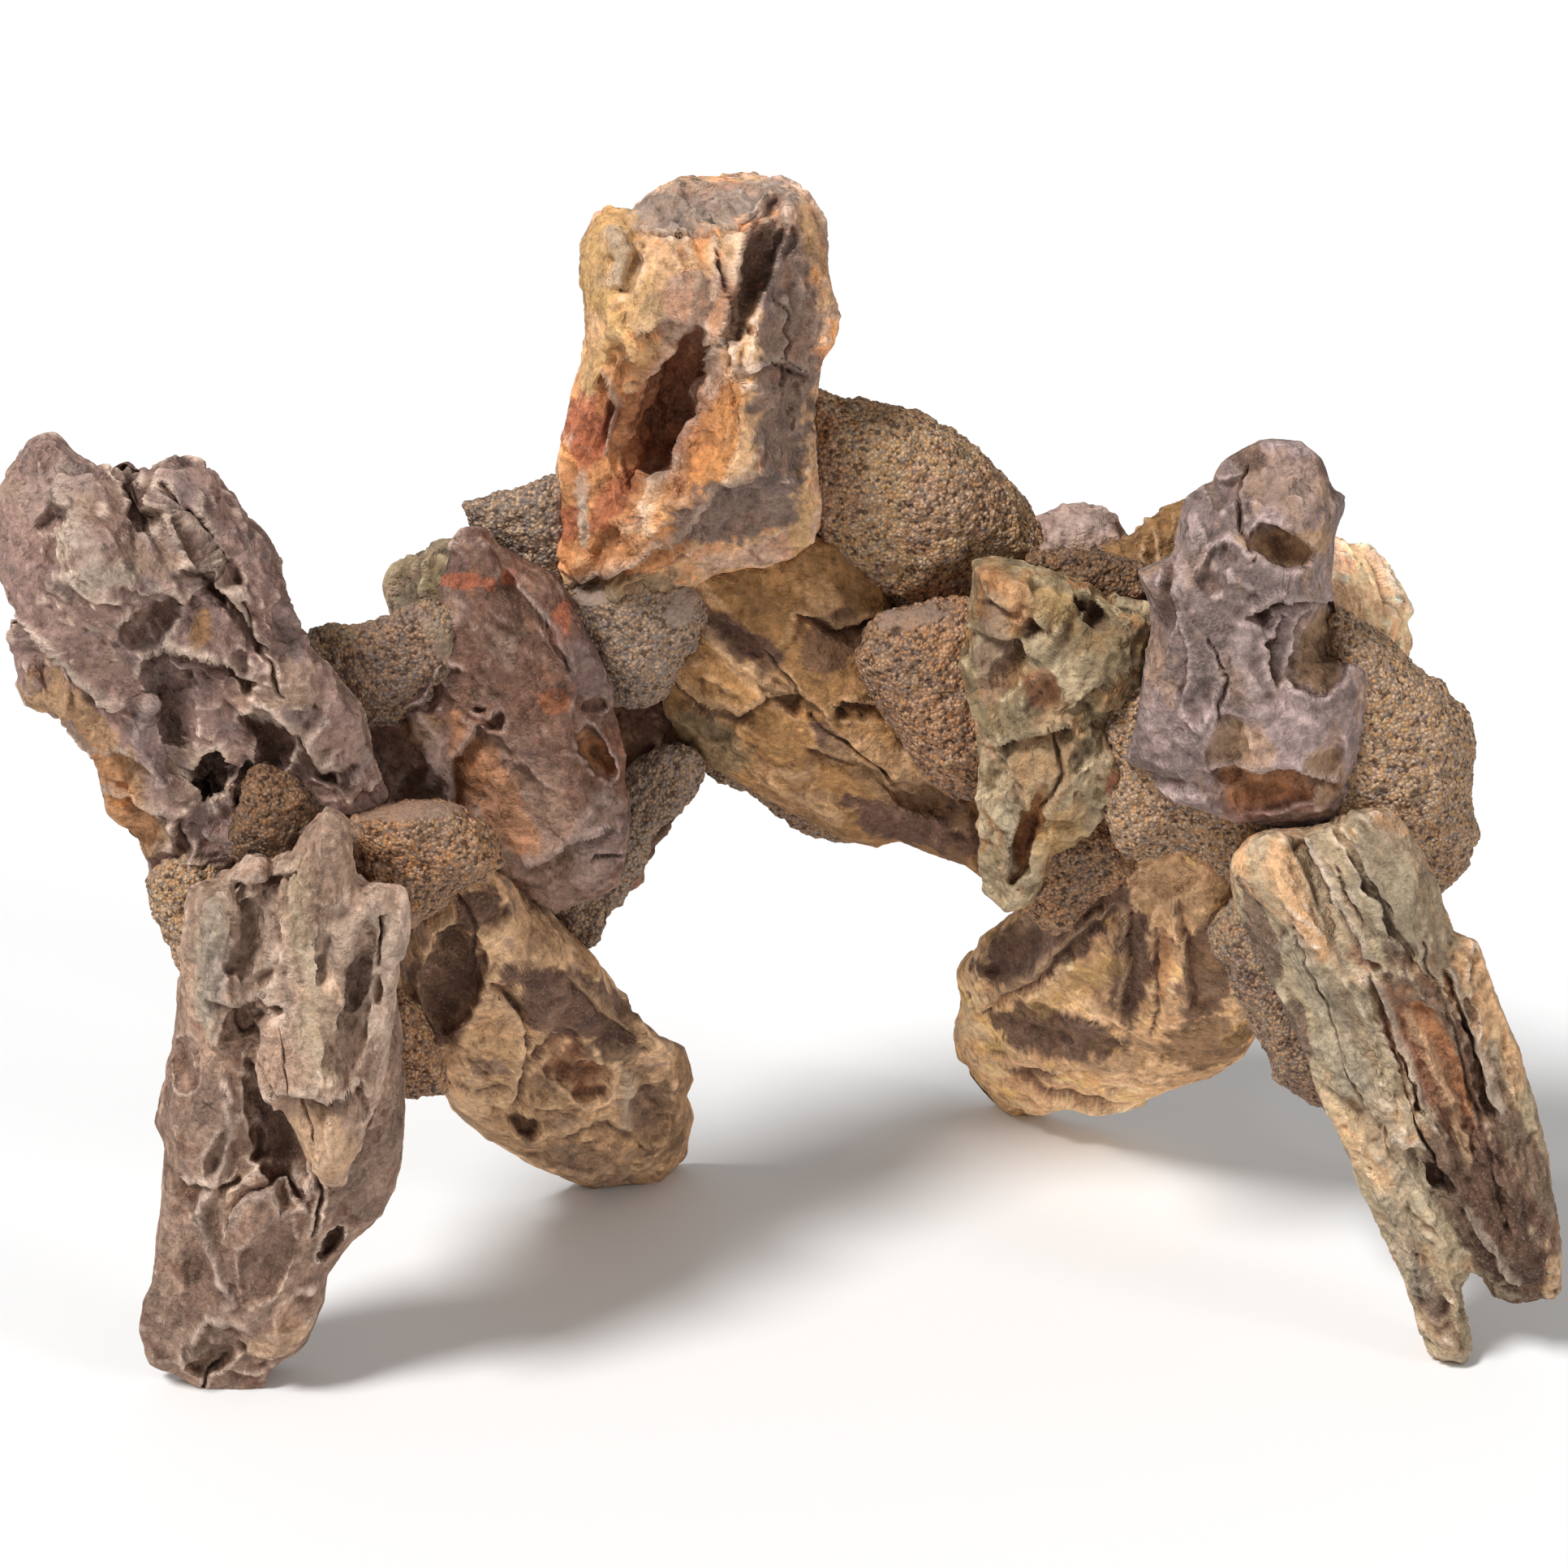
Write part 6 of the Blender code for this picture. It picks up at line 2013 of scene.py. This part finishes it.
    # Pinkish stone behind the right saddle, partly hidden.
    back_pink_stone: Stone = Stone(
        outline=((255, 128), (261, 125.5), (267, 125.5), (273, 129), (277, 132.5), (280, 138),
            (279, 148), (273, 156), (262, 155), (252, 148), (250, 138)),
        heart=(267, 141), away=4, front=14, back=24, square=2.8,
        finish=StoneFinish(Tone.PALE_MAUVE, Tone.PINK_BROWN, Tone.MAUVE, Tone.BEIGE, Tone.UMBER,
            Tone.TAN, 0.3, lightness=1.12),
    )
    # Ochre stone behind the right saddle, partly hidden.
    back_ochre_stone: Stone = Stone(
        outline=((270, 134), (278, 132), (283, 128.5), (289, 125.5), (296, 125), (302, 131), (304, 144),
            (300, 155), (289, 160), (277, 156), (270, 146)),
        heart=(287, 143), away=-4, front=14, back=26, square=2.8,
        finish=StoneFinish(Tone.OCHRE, Tone.TAN, Tone.DARK_OCHRE, Tone.PALE_TAN, Tone.UMBER,
            Tone.DARK_RUST, 0.4, lightness=1.12),
    )
    # Brown stone behind the right crest stone, partly hidden.
    right_back_stone: Stone = Stone(
        outline=((324, 131), (331, 132.5), (337, 137), (342, 143.5), (345, 151), (345.5, 159),
            (342, 169), (334, 176), (324, 172), (317, 160), (316, 142)),
        heart=(331, 153), away=-8, front=15, back=26, square=2.8,
        finish=StoneFinish(Tone.PALE_TAN, Tone.PINK_BROWN, Tone.TAN, Tone.CREAM, Tone.DARK_RUST,
            Tone.RUST, 0.35, lightness=2.0),
    )
    # Sandy dab under the right crest stone.
    mortar_right_neck: Dab = Dab(
        outline=((281, 165), (290, 170), (302, 184), (317, 198), (321, 209), (315, 219), (304, 218),
            (297, 212.5), (291, 209.5), (284, 211.5), (277.5, 212), (273.5, 206), (271.5, 199),
            (274, 192), (271.5, 184), (271.5, 177), (276, 171)),
        heart=(288, 194), away=-36, front=12, back=28, square=2.8,
        finish=SandFinish(brightness=1.12),
    )
    # Bright sandy dab on the right shoulder.
    mortar_right_shoulder: Dab = Dab(
        outline=((327, 150), (335, 152.5), (343, 158), (349, 164), (355, 167.5), (360, 174),
            (363.5, 181), (363, 190), (363, 199), (364, 207), (361, 214), (354, 220.5), (347, 226),
            (334, 222), (324, 208), (322, 188), (324, 168)),
        heart=(343, 188), away=-34, front=22, back=34, square=2.8,
        finish=SandFinish(brightness=1.6),
    )
    # Dab in the saddle left of the right crest stone.
    mortar_right_saddle: Dab = Dab(
        outline=((253, 137), (264, 135.5), (274, 136.5), (282, 139), (289, 145), (288, 156), (276, 158),
            (264, 152), (254, 146)),
        heart=(272, 146), away=-18, front=11, back=24,
        finish=SandFinish(brightness=0.47),
    )
    # Dull dab behind the right plate stone.
    mortar_right_inner: Dab = Dab(
        outline=((258, 203), (268, 199), (278, 203), (281, 213), (275, 219), (268, 223), (264, 229),
            (258, 230), (252.5, 224), (253, 212)),
        heart=(266, 214), away=-20, front=13, back=34,
        finish=SandFinish(brightness=0.8),
    )
    # Dark dab between the two right feet.
    mortar_right_leg: Dab = Dab(
        outline=((303, 222), (313, 221), (325, 236), (334, 256), (337, 272), (331, 275), (323, 271.5),
            (315, 266.5), (312, 259.5), (308, 252), (302, 240), (298, 230)),
        heart=(316, 250), away=-35, front=14, back=38,
        finish=replace(GREY_SAND, brightness=0.95),
    )


@dataclass
class Studio:
    """A pale floor, soft lights and the camera at the photograph's viewing angle, in metres."""

    floor_half: float = 6.0
    floor_depth: float = 0.0001
    floor_grey: float = 0.86
    sensor_mm: float = 36.0
    middle: tuple = (0.0, 0.0, 0.14)
    key: tuple = ((-0.8, -0.7, 1.5), 3.1)
    fill: tuple = ((1.2, -0.8, 0.7), 0.5)
    softness: float = math.radians(14.0)
    sky_strength: float = 0.38

    def floor(self) -> bpy.types.Object:
        """A plain pale floor under the arch.

        Returns:
            The floor.
        """
        half, depth = self.floor_half, -self.floor_depth
        corners = [(-half, -half, depth), (half, -half, depth), (half, half, depth), (-half, half, depth)]
        mesh = bpy.data.meshes.new("studio_floor")
        mesh.from_pydata(corners, [], [(0, 1, 2, 3)])
        recipe = Recipe("studio_floor", 0.9)
        recipe.feed(recipe.shader.inputs["Base Color"], (*[self.floor_grey] * 3, 1.0))
        mesh.materials.append(recipe.material)
        return placed("studio_floor", mesh)

    def lamp(self, name: str, spot: tuple, strength: float) -> bpy.types.Object:
        """A large soft light, far away, that shines from a spot to the arch's middle.

        Args:
            name: the light's name.
            spot: where it hangs.
            strength: its strength in watts per square metre.

        Returns:
            The new light.
        """
        data = bpy.data.lights.new(name, "SUN")
        data.angle = self.softness
        data.energy = strength
        lamp = placed(name, data)
        ray = Vector(self.middle) - Vector(spot)
        lamp.matrix_world = Matrix.Translation(spot) @ ray.to_track_quat("-Z", "Y").to_matrix().to_4x4()
        return lamp

    def sky(self) -> None:
        """An even white surround."""
        world = bpy.data.worlds.new("studio_sky")
        world.use_nodes = True
        shade = world.node_tree.nodes["Background"]
        shade.inputs["Color"].default_value = (1.0, 1.0, 1.0, 1.0)
        shade.inputs["Strength"].default_value = self.sky_strength
        bpy.context.scene.world = world

    def camera(self, shift: np.ndarray) -> bpy.types.Object:
        """The eye of the drawing sheet as a camera.

        Args:
            shift: from raw sheet space to the frame, in mm.

        Returns:
            The camera.
        """
        data = bpy.data.cameras.new("studio_camera")
        data.sensor_width = self.sensor_mm
        data.lens = self.sensor_mm * SHEET.eye_distance / SHEET.width
        data.clip_start = 0.01
        data.clip_end = 50.0
        camera = placed("studio_camera", data)
        target = Vector((0.0, 0.0, SHEET.aim_height * MM)) + Vector(shift * MM)
        eye = target - Vector(SHEET.look) * (SHEET.eye_distance * MM)
        turn = Matrix((Vector((1.0, 0.0, 0.0)), Vector(SHEET.upward), Vector(-SHEET.look))).transposed()
        camera.matrix_world = Matrix.Translation(eye) @ turn.to_4x4()
        bpy.context.scene.camera = camera
        return camera

    def build(self, shift: np.ndarray) -> None:
        """Set up floor, lights, surround and camera.

        Args:
            shift: from raw sheet space to the frame, in mm.
        """
        self.sky()
        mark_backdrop(self.floor(), self.lamp("studio_key", *self.key), self.lamp("studio_fill", *self.fill))
        self.camera(shift)
        bpy.context.scene.view_settings.view_transform = "Standard"


def solid_corners(node: bpy.types.Object) -> np.ndarray:
    """Corners of a CAD node in the frame.

    Args:
        node: the CAD node's object.

    Returns:
        One row (x, y, z) for each corner, in mm.
    """
    flat = np.empty(3 * len(node.data.vertices), np.float32)
    node.data.vertices.foreach_get("co", flat)
    return flat.reshape(-1, 3).astype(float) / MM


def frame_shift(frame: dict, piece: Piece, same_height: float = 0.01, cell: float = 0.2) -> np.ndarray:
    """The move from raw sheet space to the frame, in mm.

    Outline corners of a piece are corners of its solid too. Pairs of equal height are taken, and
    the move that most pairs share is the one.

    Args:
        frame: what the frame holds.
        piece: a piece whose outline stayed whole.
        same_height: how far the heights of a pair may differ.
        cell: how far two moves may differ and still count as one.

    Returns:
        The move (x, y, 0).
    """
    spots = np.array(piece.outline, float)
    raw = SHEET.place(spots, piece.middle(spots))
    moves = solid_corners(frame["nodes"][piece.name])[None, :, :] - raw[:, None, :]
    level = moves[np.abs(moves[:, :, 2]) < same_height][:, :2]
    cells, counts = np.unique(np.round(level / cell), axis=0, return_counts=True)
    best = cells[np.argmax(counts)] * cell
    same = level[np.abs(level - best).max(axis=1) < cell]
    return np.array((*same.mean(axis=0), 0.0))


def main() -> None:
    """Build the arch and its studio in the frame, and work out the frame's box before and after."""
    logging.basicConfig(level=logging.INFO, format="%(message)s")
    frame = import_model()
    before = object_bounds()
    clusters = (LeftPillar(), Span(), RightPillar())
    crown = next(piece for piece in clusters[1].pieces() if piece.name == "crown_stone")
    shift = frame_shift(frame, crown)
    corners = np.concatenate([solid_corners(node) for node in frame["nodes"].values()])
    limits = (corners.min(axis=0), corners.max(axis=0))
    for cluster in clusters:
        cluster.build(shift, *limits)
    Studio().build(shift)
    boxes = {"before": before, "after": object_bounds()}
    rows = {when: [[float(part) for part in row] for row in box] for when, box in boxes.items()}


if __name__ == "__main__":
    main()
